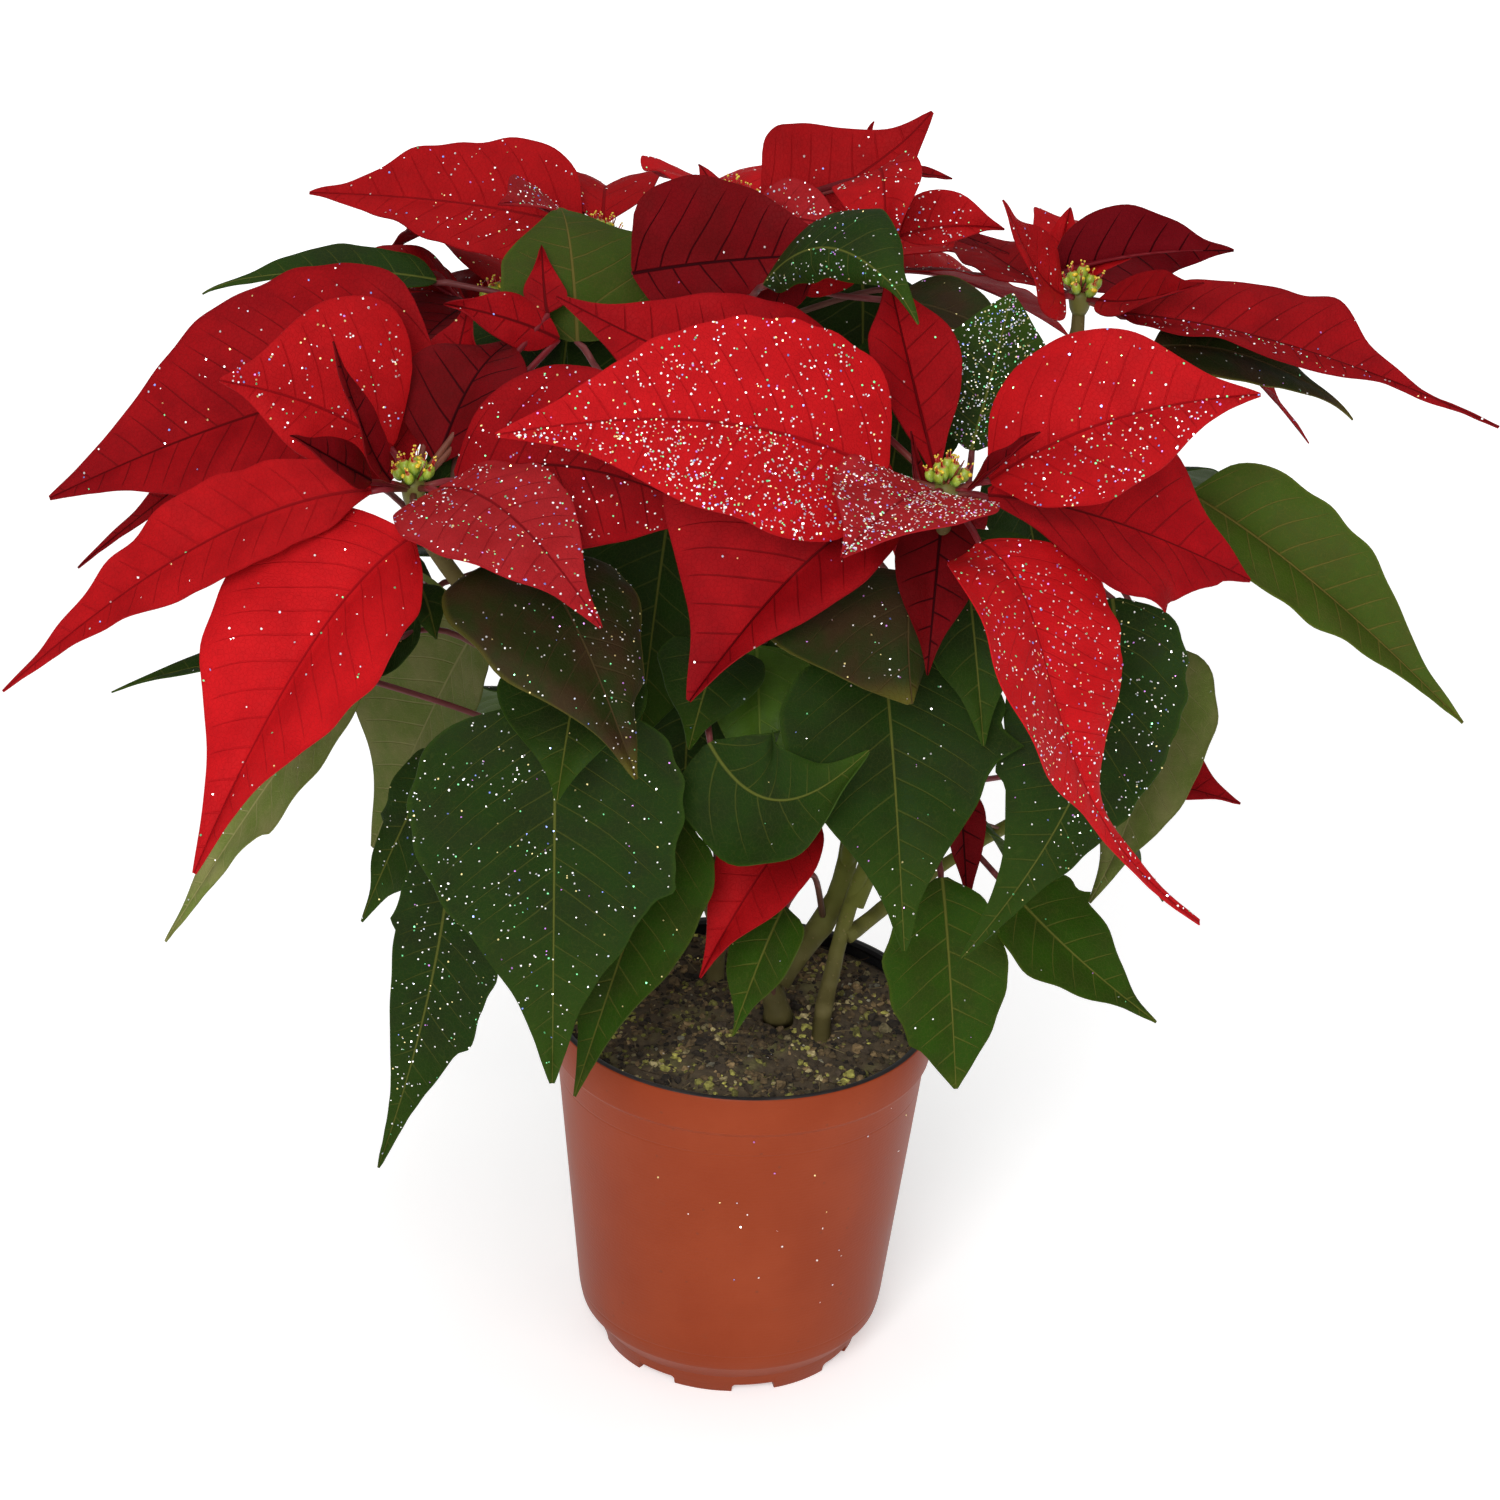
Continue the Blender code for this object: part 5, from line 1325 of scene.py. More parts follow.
@dataclass
class Stem:
    """A woody stem with its forks, swollen where leaves grow."""

    name: str
    forks: dict
    habit: Habit
    blades: list[Blade]
    steps: int = 9
    sides: int = 20
    taper: float = 1.6
    swell: float = 0.22
    swell_length: float = 3.5
    grain: float = 3.5
    relief: float = 0.35

    def build(self, material: bpy.types.Material) -> bpy.types.Object:
        """Sweeps the forks.

        Args:
            material: The bark.

        Returns:
            The piece.
        """
        bm = layered("share")
        for home, (points, foot, top) in self.forks.items():
            path = self.habit.fork_path(points, self.steps)
            steps = len(path) - 1
            knots = [self.habit.fork_point(home, b.at) for b in self.blades if b.green and b.home == home]
            radii = []
            for k, point in enumerate(path):
                radius = foot + (top - foot) * min(1.0, self.taper * k / steps)
                near = sum(math.exp(-(((point - knot).length / self.swell_length) ** 2)) for knot in knots)
                radii.append(radius * (1 + self.swell * min(1.2, near)))
            sweep(bm, path, radii, [k / steps for k in range(steps + 1)], self.sides)
        for vert in smoothed(bm).verts:
            vert.co += vert.normal * noise.noise(vert.co / (self.grain * MM)) * self.relief * MM
        piece = new_piece(self.name + "_wood", mesh_of("wood", bm), material)
        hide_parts(self.name)
        return piece


@dataclass
class Head:
    """The hub of a flower head and the cluster of small green flowers on it."""

    home: str
    habit: Habit
    order: int
    hub_profile: tuple[tuple[float, float], ...] = (
        (0, -0.4), (2.4, -0.2), (3.2, 1.5), (3.7, 4.0), (3.9, 6.2), (3.2, 7.8), (1.6, 8.5), (0, 8.7),
    )
    hub_steps: int = 16
    hub_top: float = 8.6
    bud_radius: float = 2.0
    rings: tuple[tuple[int, float, float], ...] = ((6, 5.0, 2.4), (4, 2.6, 4.4), (1, 0.0, 5.4))
    foot_sink: float = 1.2
    scale_count: int = 11
    scale_radii: tuple[float, float] = (0.75, 0.18)
    stalk_radii: tuple[float, float] = (0.75, 0.95)
    seed: int = 500

    def __post_init__(self) -> None:
        """Finds the top of the fork."""
        self.crown = self.habit.fork_point(self.home, 1.0)
        self.low = self.crown.z + self.habit.hub_gap
        self.rng = np.random.default_rng(self.order + self.seed)

    def build_hub(self, material: bpy.types.Material) -> bpy.types.Object:
        """Spins the hub that the bracts grow from.

        Args:
            material: Its material.

        Returns:
            The piece.
        """
        bm = spun(self.hub_profile, self.hub_steps)
        bmesh.ops.translate(bm, verts=bm.verts, vec=Vector((self.crown.x, self.crown.y, self.low)) * MM)
        piece = new_piece("hub_" + self.home, mesh_of("hub", bm), material)
        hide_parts("bracts_" + self.home)
        return piece

    def bud(self, bm: bmesh.types.BMesh, place: Matrix, radius: float) -> None:
        """Adds one small flower: a ribbed green cup, a honey gland, and a few stamens.

        Args:
            bm: What it is added to, with number layers called share and tint.
            place: Where its middle stands, and which way it leans, in metres.
            radius: Its radius, in metres.
        """
        share, tint = bm.verts.layers.float["share"], bm.verts.layers.float["tint"]
        cup = bmesh.ops.create_uvsphere(bm, u_segments=15, v_segments=9, radius=1.0)["verts"]
        for vert in cup:
            height = vert.co.z
            turn = math.atan2(vert.co.y, vert.co.x)
            rib = 1 + 0.07 * math.cos(5 * turn) * max(0.0, height)
            narrow = rib * (1 - 0.22 * max(0.0, height) - 0.1 * max(0.0, -height))
            vert[share] = (height + 1) / 2
            dip = 0.35 * max(0.0, height - 0.8) / 0.2
            ribbed = Vector((vert.co.x * narrow, vert.co.y * narrow, height * 1.45 - dip))
            vert.co = place @ (ribbed * radius)
        gland_turn = Matrix.Rotation(self.rng.uniform(0, math.tau), 4, "Z")
        lean = Matrix.Translation((0.95 * radius, 0, 0.75 * radius)) @ Matrix.Rotation(0.6, 4, "Y")
        size = Matrix.Diagonal((0.36 * radius, 0.55 * radius, 0.3 * radius, 1))
        gland = bmesh.ops.create_uvsphere(
            bm, u_segments=10, v_segments=6, radius=1.0, matrix=place @ gland_turn @ lean @ size
        )["verts"]
        tag(gland, tint, 1.0)
        for _ in range(self.rng.integers(2, 5)):
            turn, out = self.rng.uniform(0, math.tau), self.rng.uniform(0.1, 0.45) * radius
            tall = self.rng.uniform(0.7, 1.5) * radius
            foot = Vector((out * math.cos(turn), out * math.sin(turn), 1.2 * radius))
            stand = place @ Matrix.Translation(foot + Vector((0, 0, tall / 2)))
            thread = rod(bm, 5, (0.09 * radius, 0.07 * radius), tall, stand)
            tip = place @ Matrix.Translation(foot + Vector((0, 0, tall)))
            size = 0.2 * radius
            anther = bmesh.ops.create_icosphere(bm, subdivisions=1, radius=size, matrix=tip)["verts"]
            tag(thread, tint, 2.0)
            tag(anther, tint, 3.0)

    def stick(
        self, bm: bmesh.types.BMesh, low: Vector, high: Vector, radii: tuple[float, float], kind: float
    ) -> None:
        """Adds a flower's stalk or a thin scale.

        Args:
            bm: What it is added to, with a number layer called tint.
            low: Its foot, in millimetres.
            high: Its top.
            radii: Its radius at the two ends.
            kind: What the tint layer holds.
        """
        turn = (high - low).to_track_quat("Z", "Y").to_matrix().to_4x4()
        place = Matrix.Translation((low + high) / 2 * MM) @ turn
        made = rod(bm, 7, (radii[0] * MM, radii[1] * MM), (high - low).length * MM, place)
        tag(made, bm.verts.layers.float["tint"], kind)

    def build_buds(self, material: bpy.types.Material) -> bpy.types.Object:
        """Builds the cluster.

        Args:
            material: The flowers' material.

        Returns:
            The piece.
        """
        bm = layered("share", "tint")
        foot = Vector((self.crown.x, self.crown.y, self.low + self.hub_top - self.foot_sink))
        for count, ring, rise in self.rings:
            first = self.rng.uniform(0, math.tau)
            for k in range(count):
                turn = first + math.tau * (k + self.rng.uniform(-0.12, 0.12)) / count
                out = Vector((math.cos(turn), math.sin(turn), 0))
                top = out * ring + Vector((0, 0, rise + self.rng.uniform(-0.6, 0.8)))
                lean = Matrix.Rotation(0.09 * ring, 4, Vector((-out.y, out.x, 0)))
                radius = self.bud_radius * self.rng.uniform(0.7, 1.05)
                self.bud(bm, Matrix.Translation((foot + top) * MM) @ lean, radius * MM)
                self.stick(bm, foot + out * ring * 0.3, foot + top, self.stalk_radii, 0.0)
        for _ in range(self.scale_count):
            turn, reach = self.rng.uniform(0, math.tau), self.rng.uniform(3.2, 7.2)
            out = Vector((math.cos(turn), math.sin(turn), 0))
            top = out * reach + Vector((0, 0, self.rng.uniform(2.5, 7.5)))
            self.stick(bm, foot + out * 1.8, foot + top, self.scale_radii, 4.0)
        piece = new_piece("flowers_" + self.home, mesh_of("flowers", smoothed(bm)), material)
        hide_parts("buds_" + self.home)
        return piece


@dataclass
class Pot:
    """The plastic pot, turned with a rim band, a rounded heel, and a notched foot ring."""

    rim_radius: float = 65.0
    height: float = 128.0
    band_height: float = 15.0
    band_step: float = 1.6
    wall: float = 1.4
    lip: float = 0.9
    lip_width: float = 2.8
    taper_radius: float = 53.5
    heel_height: float = 20.0
    heel_round: float = 6.0
    heel_step: float = 1.2
    foot_radius: float = 45.0
    foot_height: float = 7.0
    floor_height: float = 4.5
    foot_ring: float = 3.5
    pad_radius: float = 8.0
    notch_count: int = 8
    notch_size: tuple[float, float, float] = (12.0, 15.0, 3.2)
    notch_turn: float = 0.28
    notch_round: float = 1.2
    edge_round: float = 0.45
    drain_radius: float = 4.5
    drain_count: int = 4
    drain_ring: float = 27.0
    steps: int = 160

    def profile(self) -> list[tuple[float, float]]:
        """Draws the wall, from the middle of the inner floor over the lip to the foot's pad.

        Returns:
            Pairs of radius and height, in millimetres.
        """
        rim, top, wall = self.rim_radius, self.height, self.wall
        inner, band, floor = rim - wall, top - self.band_height, self.floor_height + wall
        ring, lip, soft, round_lip = self.foot_radius - self.foot_ring, rim - self.lip_width, 0.3, 0.9
        heel, shoulder = self.taper_radius - self.heel_step, self.heel_height - self.heel_round
        return [
            (0, floor),
            (self.foot_radius - 2 * wall, floor),
            (heel - 2 * wall, shoulder),
            (self.taper_radius - wall, self.heel_height + 2 * wall),
            (inner - self.band_step, band),
            (inner, band + 2 * wall),
            (inner, top - 4 * self.lip),
            (lip, top - 2 * self.lip),
            (lip + soft, top - soft),
            (lip + round_lip, top),
            (rim - round_lip, top),
            (rim - soft, top - soft),
            (rim, top - self.lip),
            (rim, band + self.band_step),
            (rim - self.band_step, band),
            (self.taper_radius, self.heel_height),
            (self.taper_radius - self.heel_step * 0.35, self.heel_height - self.heel_round * 0.45),
            (heel, shoulder),
            (self.foot_radius + wall, self.foot_height),
            (self.foot_radius, 0),
            (ring, 0),
            (ring - 1, self.floor_height),
            (self.pad_radius + 1, self.floor_height),
            (self.pad_radius, 0),
            (0, 0),
        ]

    def cutters(self) -> list[bpy.types.Object]:
        """Makes the blocks and rods that cut the notches and the drain holes.

        Returns:
            The cutters.
        """
        made = []
        for k in range(self.notch_count + self.drain_count):
            bm = bmesh.new()
            if k < self.notch_count:
                deep, wide, tall = self.notch_size
                turn = math.tau * (k + self.notch_turn) / self.notch_count
                size = Matrix.Diagonal((deep * MM, wide * MM, 2 * tall * MM, 1))
                place = Matrix.Rotation(turn, 4, "Z") @ Matrix.Translation((self.foot_radius * MM, 0, 0))
                bmesh.ops.create_cube(bm, size=1.0, matrix=place @ size)
                upright = [e for e in bm.edges if abs(e.verts[0].co.z - e.verts[1].co.z) < 0.1 * MM]
                bmesh.ops.bevel(
                    bm, geom=upright, offset=self.notch_round * MM, affect="EDGES", segments=3, profile=0.5,
                    material=-1,
                )
            else:
                turn = math.tau * (k - self.notch_count + 0.5) / self.drain_count
                spot = Vector((math.cos(turn), math.sin(turn), 0)) * self.drain_ring * MM
                rod(bm, 32, [self.drain_radius * MM] * 2, 20 * MM, Matrix.Translation(spot))
            made.append(linked("cutter", mesh_of("cutter", bm)))
        return made

    def build(self, outer: bpy.types.Material, inner: bpy.types.Material) -> bpy.types.Object:
        """Turns the pot, rounds its corners and cuts it.

        Args:
            outer: The clay-coloured plastic.
            inner: The black plastic inside.

        Returns:
            The piece.
        """
        bm = spun(self.profile(), self.steps)
        rounded = []
        for edge in bm.edges:
            level = abs(edge.verts[0].co.z - edge.verts[1].co.z) < 0.01 * MM
            below = edge.verts[0].co.z < (self.height - 2) * MM
            if level and below and edge.is_manifold and edge.calc_face_angle(0) > 0.3:
                rounded.append(edge)
        bmesh.ops.bevel(
            bm, geom=rounded, offset=self.edge_round * MM, affect="EDGES", segments=2, profile=0.5,
            material=-1,
        )
        body = new_piece("pot_body", mesh_of("pot_body", bm), outer, inner)
        cutters = self.cutters()
        for cutter in cutters:
            bite = body.modifiers.new("cut", "BOOLEAN")
            bite.operation = "DIFFERENCE"
            bite.object = cutter
        bpy.context.view_layer.update()
        mesh = bpy.data.meshes.new_from_object(body.evaluated_get(bpy.context.evaluated_depsgraph_get()))
        for made in (body, *cutters):
            bpy.data.objects.remove(made)
        for face in mesh.polygons:
            middle, normal = face.center, face.normal
            face.use_smooth = True
            inward = normal.x * middle.x + normal.y * middle.y < 0
            upward = normal.z > 0.5 and middle.z < (self.height - 1) * MM
            lip = middle.z > (self.height - 0.5) * MM
            reach = math.hypot(middle.x, middle.y)
            inside = reach < (self.rim_radius - 0.25) * MM and middle.z > self.floor_height * MM
            face.material_index = int(inside and (inward or upward or lip))
        mesh.set_sharp_from_angle(angle=math.radians(40))
        piece = new_piece("pot_shell", mesh)
        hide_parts("pot")
        return piece


@dataclass
class Compost:
    """The compost that fills the pot: a lumpy bed with crumbs, fibres and a little moss.

    lumps are the length and the height of each layer of lumps, and how far its pattern is
    moved aside. shore is how much of the bed's reach they fade over at the wall.
    """

    pot: Pot
    gap: float = 0.3
    edge: float = 121.5
    crown: float = 124.6
    lumps: tuple[tuple[float, float, float], ...] = ((16, 2.2, 0), (7, 2.2, 7), (2.4, 0.7, 0))
    shore: float = 1 / 9
    rings: int = 30
    steps: int = 140
    crumb_count: int = 3300
    fibre_count: int = 150
    chunk: int = 150
    seed: int = 41

    def height_at(self, x: float, y: float) -> float:
        """Finds how high the bed lies at a place.

        Args:
            x: The place to the right, in millimetres.
            y: The place away from the front, in millimetres.

        Returns:
            The height, in millimetres.
        """
        share = math.hypot(x, y) / (self.pot.rim_radius - self.pot.wall - self.gap)
        height = self.crown + (self.edge - self.crown) * share ** 2
        fade = max(0.0, min(1.0, (1 - share) / self.shore))
        for length, rise, aside in self.lumps:
            height += noise.noise(Vector((x, y, 0)) / length + Vector((aside, 0, 0))) * rise * fade
        return height

    def build_bed(self, material: bpy.types.Material) -> bpy.types.Object:
        """Spins the bed and roughens its top.

        Args:
            material: Its material.

        Returns:
            The piece.
        """
        inside = [(x - self.gap, z) for x, z in self.pot.profile()[1:7]]
        foot, low, mid, high, step, rim = inside
        top = [(rim[0] * k / self.rings, self.edge) for k in range(self.rings + 1)]
        rest = [(step[0], step[1] - self.gap), high, mid, low, (foot[0], foot[1] + self.gap)]
        bm = spun([*top, *rest, (0, foot[1] + self.gap)], self.steps)
        for vert in bm.verts:
            if vert.co.z > (self.edge - 0.5) * MM:
                vert.co.z = self.height_at(vert.co.x / MM, vert.co.y / MM) * MM
        piece = new_piece("compost_bed", mesh_of("compost_bed", bm), material)
        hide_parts("soil")
        return piece

    def build_crumbs(self, material: bpy.types.Material) -> bpy.types.Object:
        """Strews crumbs, moss and fibres over the bed.

        Args:
            material: Their material, which reads each one's colour.

        Returns:
            The piece.
        """
        rng = np.random.default_rng(self.seed)
        whole = bmesh.new()
        whole.verts.layers.float_color.new("tint")
        reach = self.pot.rim_radius - self.pot.wall - 2.2
        done = 0
        while done < self.crumb_count + self.fibre_count:
            part = bmesh.new()
            layer = part.verts.layers.float_color.new("tint")
            for _ in range(self.chunk):
                fibre = done >= self.crumb_count
                radius = reach * math.sqrt(rng.uniform(0, 1))
                turn = rng.uniform(0, math.tau)
                x, y = radius * math.cos(turn), radius * math.sin(turn)
                mossy = noise.noise(Vector((x / 17, y / 17, 4.0)))
                mossy += 0.25 * noise.noise(Vector((x / 5, y / 5, 1.0)))
                height = self.height_at(x, y)
                spin = Matrix.Rotation(rng.uniform(0, 6.28), 4, "Z")
                if fibre:
                    spin = spin @ Matrix.Rotation(rng.uniform(1.2, 1.6), 4, "Y")
                    place = Matrix.Translation(Vector((x, y, height + 0.7)) * MM) @ spin
                    size = rng.uniform(3, 9)
                    made = rod(part, 5, (0.22 * MM, 0.12 * MM), size * MM, place)
                    colour = (0.16, 0.12, 0.06, 1) if rng.uniform() < 0.5 else (0.05, 0.03, 0.015, 1)
                else:
                    size = min(2.8, 0.4 + rng.gamma(2.0, 0.3))
                    spin = spin @ Matrix.Rotation(rng.uniform(-0.6, 0.6), 4, "X")
                    deep, tall = rng.uniform(0.5, 1), rng.uniform(0.4, 0.8)
                    form = spin @ Matrix.Diagonal((size, size * deep, size * tall, 1))
                    place = Matrix.Translation(Vector((x, y, height + 0.15 * size)) * MM) @ form
                    made = bmesh.ops.create_icosphere(part, subdivisions=1, radius=MM, matrix=place)["verts"]
                    for vert in made:
                        vert.co += Vector(rng.uniform(-0.22, 0.22, 3) * size * MM)
                    colour = self.crumb_colour(mossy, rng)
                tag(made, layer, colour)
                done += 1
            pour(part, whole)
        piece = new_piece("compost_crumbs", mesh_of("compost_crumbs", whole), material)
        return piece

    def crumb_colour(self, mossy: float, rng: np.random.Generator) -> tuple[float, float, float, float]:
        """Picks a crumb's colour.

        Args:
            mossy: How mossy the place is.
            rng: The source of chance.

        Returns:
            The colour.
        """
        draw = rng.uniform()
        light = rng.uniform(0.8, 2.2) * min(1.3, max(0.35, 0.75 + 1.6 * mossy))
        if draw < 0.02:
            base = (0.2, 0.19, 0.14)
        elif draw < 0.22 + 0.9 * max(0.0, mossy):
            base = (0.2, 0.19, 0.045) if rng.uniform() < 0.7 else (0.24, 0.2, 0.1)
        elif draw < 0.66:
            base = (0.14, 0.095, 0.045)
        else:
            base = (0.035, 0.025, 0.016)
        return (base[0] * light, base[1] * light, base[2] * light, 1.0)


# The flakes' colours, each with the share of all flakes that it and those before it make up.
FLAKE_TINTS = (
    (0.56, (0.95, 0.93, 0.92)), (0.68, (0.75, 0.8, 0.95)), (0.78, (0.95, 0.8, 0.35)),
    (0.88, (0.25, 0.9, 0.4)), (0.94, (0.3, 0.4, 1.0)), (1.0, (0.75, 0.3, 0.95)),
)


@dataclass
class Glitter:
    """Small flat flakes stuck to the plant, silvery and tinted."""

    name: str
    radius: tuple[float, float] = (0.2, 0.4)
    depth: float = 0.09
    tilt: float = 0.35
    chunk: int = 120
    seed: int = 97

    def tint(self, rng: np.random.Generator) -> tuple[float, float, float, float]:
        """Picks a flake's colour.

        Args:
            rng: The source of chance.

        Returns:
            The colour.
        """
        draw = rng.uniform()
        return (*next(colour for limit, colour in FLAKE_TINTS if draw < limit), 1.0)

    def build(self, spots: Sequence[Spot], material: bpy.types.Material) -> bpy.types.Object:
        """Lays a flake on every spot.

        Args:
            spots: Points and normals, in millimetres.
            material: The flakes' material.

        Returns:
            The piece.
        """
        rng = np.random.default_rng(self.seed)
        whole = bmesh.new()
        whole.verts.layers.float_color.new("tint")
        for start in range(0, len(spots), self.chunk):
            part = bmesh.new()
            layer = part.verts.layers.float_color.new("tint")
            for point, normal in spots[start:start + self.chunk]:
                radius = rng.uniform(*self.radius)
                lean = Vector(rng.normal(0, self.tilt, 3))
                way = (normal + lean).normalized()
                lift = point + normal * (self.depth + radius * 0.25)
                place = Matrix.Translation(lift * MM) @ way.to_track_quat("Z", "Y").to_matrix().to_4x4()
                made = rod(part, 6, (radius * MM, radius * 0.9 * MM), self.depth * MM, place)
                tag(made, layer, self.tint(rng))
            pour(part, whole)
        return new_piece(self.name, mesh_of(self.name, whole), material)


class Finishes:
    """The materials of everything but the blades."""

    def terracotta(self) -> bpy.types.Material:
        """Builds the pot's clay-coloured plastic: satin, faint rings, scuffs, dust, darker towards the foot.

        Returns:
            The material.
        """
        tree = Tree("pot_plastic")
        place = tree.place()
        _, _, z = tree.axes(place)
        cloud = tree.noise(place, 28.0, 4.0)
        grain = tree.noise(place, 900.0, 2.0)
        base = tree.mix(tree.ease(cloud, 0.3, 0.75), (0.215, 0.032, 0.008), (0.245, 0.041, 0.012))
        scuff = tree.ease(tree.noise(place, 120.0, 6.0), 0.68, 0.78)
        base = tree.mix(tree.scaled(scuff, 0.3), base, (0.17, 0.045, 0.022))
        specks = tree.fall(tree.cells(place, 130.0), 0.05, 0.09)
        # The wall turns darker towards the foot.
        low = tree.fall(z, 0.0, 0.03)
        base = tree.mix(tree.scaled(specks, 0.35), base, (0.11, 0.035, 0.02))
        base = tree.mix(tree.scaled(low, 0.25), base, (0.18, 0.042, 0.02))
        rough = tree.scaled(cloud, 0.16, 0.36)
        tree.surface(Base_Color=base, Roughness=rough, Specular_IOR_Level=0.1)
        rings = tree.maths("SINE", tree.scaled(z, 5200.0))
        relief = tree.scaled(grain, 0.6, tree.scaled(rings, 0.06))
        for level in (0.0195, 0.105):
            line = tree.maths("ABSOLUTE", tree.maths("SUBTRACT", z, level))
            relief = tree.maths("SUBTRACT", relief, tree.fall(line, 0.0, 0.0006))
        tree.bump(relief, 0.0002, 0.5)
        return tree.material

    def black_plastic(self) -> bpy.types.Material:
        """Builds the black plastic of the pot's inside.

        Returns:
            The material.
        """
        tree = Tree("pot_inside")
        place = tree.place()
        dust = tree.ease(tree.noise(place, 90.0, 4.0), 0.5, 0.75)
        colour = tree.mix(dust, (0.011, 0.011, 0.013), (0.035, 0.03, 0.026))
        tree.surface(Base_Color=colour, Roughness=tree.scaled(dust, 0.25, 0.35))
        tree.bump(tree.noise(place, 800.0), 0.0001, 0.4)
        return tree.material

    def peat(self) -> bpy.types.Material:
        """Builds the compost bed's dark peat with mossy patches.

        Returns:
            The material.
        """
        tree = Tree("compost_peat")
        place = tree.place()
        fine = tree.noise(place, 420.0, 6.0)
        moss = tree.ease(tree.noise(place, 60.0, 5.0), 0.52, 0.68)
        dark = tree.mix(fine, (0.016, 0.012, 0.008), (0.12, 0.085, 0.045))
        green = tree.mix(fine, (0.07, 0.065, 0.02), (0.2, 0.18, 0.065))
        tree.surface(Base_Color=tree.mix(tree.scaled(moss, 0.75), dark, green), Roughness=0.95)
        tree.bump(fine, 0.001, 0.8)
        return tree.material

    def crumbs(self) -> bpy.types.Material:
        """Builds the crumbs' material, which takes each crumb's own colour.

        Returns:
            The material.
        """
        tree = Tree("compost_crumb")
        fine = tree.noise(tree.place(), 700.0, 5.0)
        colour = tree.mix(tree.ease(fine, 0.25, 0.75), (0.45, 0.42, 0.38), (1.3, 1.3, 1.25))
        tree.surface(Base_Color=tree.mix(1.0, tree.colour("tint"), colour, "MULTIPLY"), Roughness=0.95)
        tree.bump(fine, 0.0006, 0.8)
        return tree.material

    def bark(self) -> bpy.types.Material:
        """Builds the stems' bark: grey-brown at the ground, olive above, red near the heads.

        Returns:
            The material.
        """
        tree = Tree("stem_bark")
        place = tree.place()
        _, _, z = tree.axes(place)
        patch = tree.noise(place, 110.0, 5.0)
        wood = tree.mix(patch, (0.055, 0.045, 0.012), (0.15, 0.125, 0.045))
        green = tree.mix(patch, (0.085, 0.095, 0.012), (0.12, 0.13, 0.02))
        red = tree.mix(patch, (0.11, 0.05, 0.022), (0.09, 0.09, 0.025))
        colour = tree.mix(tree.ease(z, 0.135, 0.19), wood, green)
        colour = tree.mix(tree.ease(z, 0.22, 0.33), colour, red)
        pores = tree.fall(tree.cells(place, 420.0), 0.12, 0.2)
        colour = tree.mix(tree.scaled(pores, 0.4), colour, (0.2, 0.16, 0.06))
        tree.surface(Base_Color=colour, Roughness=0.68, Specular_IOR_Level=0.15)
        tree.bump(tree.maths("ADD", patch, tree.scaled(pores, 0.4)), 0.0006, 0.7)
        return tree.material

    def stalk(self, name: str, stem: Colour, flushed: Colour, rib: Colour) -> bpy.types.Material:
        """Builds the material of stalks that run on as midribs.

        Args:
            name: The material's name.
            stem: The colour at the stalk's foot.
            flushed: Its colour farther out.
            rib: The colour of the midrib under the blade.

        Returns:
            The material.
        """
        tree = Tree(name)
        share = tree.value("share")
        patch = tree.noise(tree.place(), 160.0, 3.0)
        colour = tree.mix(tree.ease(share, -0.9, -0.3), stem, flushed)
        colour = tree.mix(tree.ease(share, -0.02, 0.25), colour, rib)
        light = tree.mix(patch, (0.75, 0.75, 0.75), (1.2, 1.2, 1.2))
        colour = tree.mix(1.0, colour, light, "MULTIPLY")
        tree.surface(Base_Color=colour, Roughness=0.45, Specular_IOR_Level=0.15)
        tree.bump(patch, 0.0003, 0.5)
        return tree.material

    def flower(self) -> bpy.types.Material:
        """Builds the small flowers' material: green cups, yellow glands and red stamens.

        Returns:
            The material.
        """
        tree = Tree("flower_green")
        share, tint = tree.value("share"), tree.value("tint")
        patch = tree.noise(tree.place(), 500.0, 3.0)
        cup = tree.mix(tree.ease(share, 0.1, 0.75), (0.09, 0.18, 0.012), (0.27, 0.34, 0.018))
        cup = tree.mix(tree.ease(share, 0.86, 0.97), cup, (0.42, 0.06, 0.02))
        cup = tree.mix(tree.scaled(patch, 0.4), cup, (0.2, 0.3, 0.04))
        gland = tree.ease(tint, 0.4, 0.6)
        thread = tree.ease(tint, 1.4, 1.6)
        anther = tree.ease(tint, 2.4, 2.6)
        scale = tree.ease(tint, 3.4, 3.6)
        colour = tree.mix(gland, cup, (0.62, 0.42, 0.02))
        colour = tree.mix(thread, colour, (0.45, 0.02, 0.015))
        colour = tree.mix(anther, colour, (0.66, 0.5, 0.05))
        colour = tree.mix(scale, colour, (0.13, 0.025, 0.012))
        tree.surface(Base_Color=colour, Roughness=tree.scaled(gland, -0.18, 0.42))
        tree.bump(patch, 0.0002, 0.5)
        return tree.material

    def glitter(self) -> bpy.types.Material:
        """Builds the flakes' foil, tinted flake by flake.

        Returns:
            The material.
        """
        tree = Tree("glitter_foil")
        return tree.surface(Base_Color=tree.colour("tint"), Metallic=0.75, Roughness=0.28)

    def floor(self) -> bpy.types.Material:
        """Builds the studio floor's plain white, with a painted glow that grows stronger away from the pot.

        Returns:
            The material.
        """
        tree = Tree("studio_floor")
        tree.surface(Base_Color=(0.9, 0.9, 0.9), Roughness=0.7, Emission_Color=(1.0, 1.0, 1.0))
        x, y, _ = tree.axes(tree.place())
        far = tree.maths("SQRT", tree.scaled(x, x, tree.scaled(y, y)))
        # Painted light: the floor glows more far from the pot, so it reads white far off and stays darker
        # near it.
        painted_glow = tree.scaled(tree.ease(far, 0.3, 2.2), 0.75, 0.38)
        return tree.surface(Emission_Strength=painted_glow)


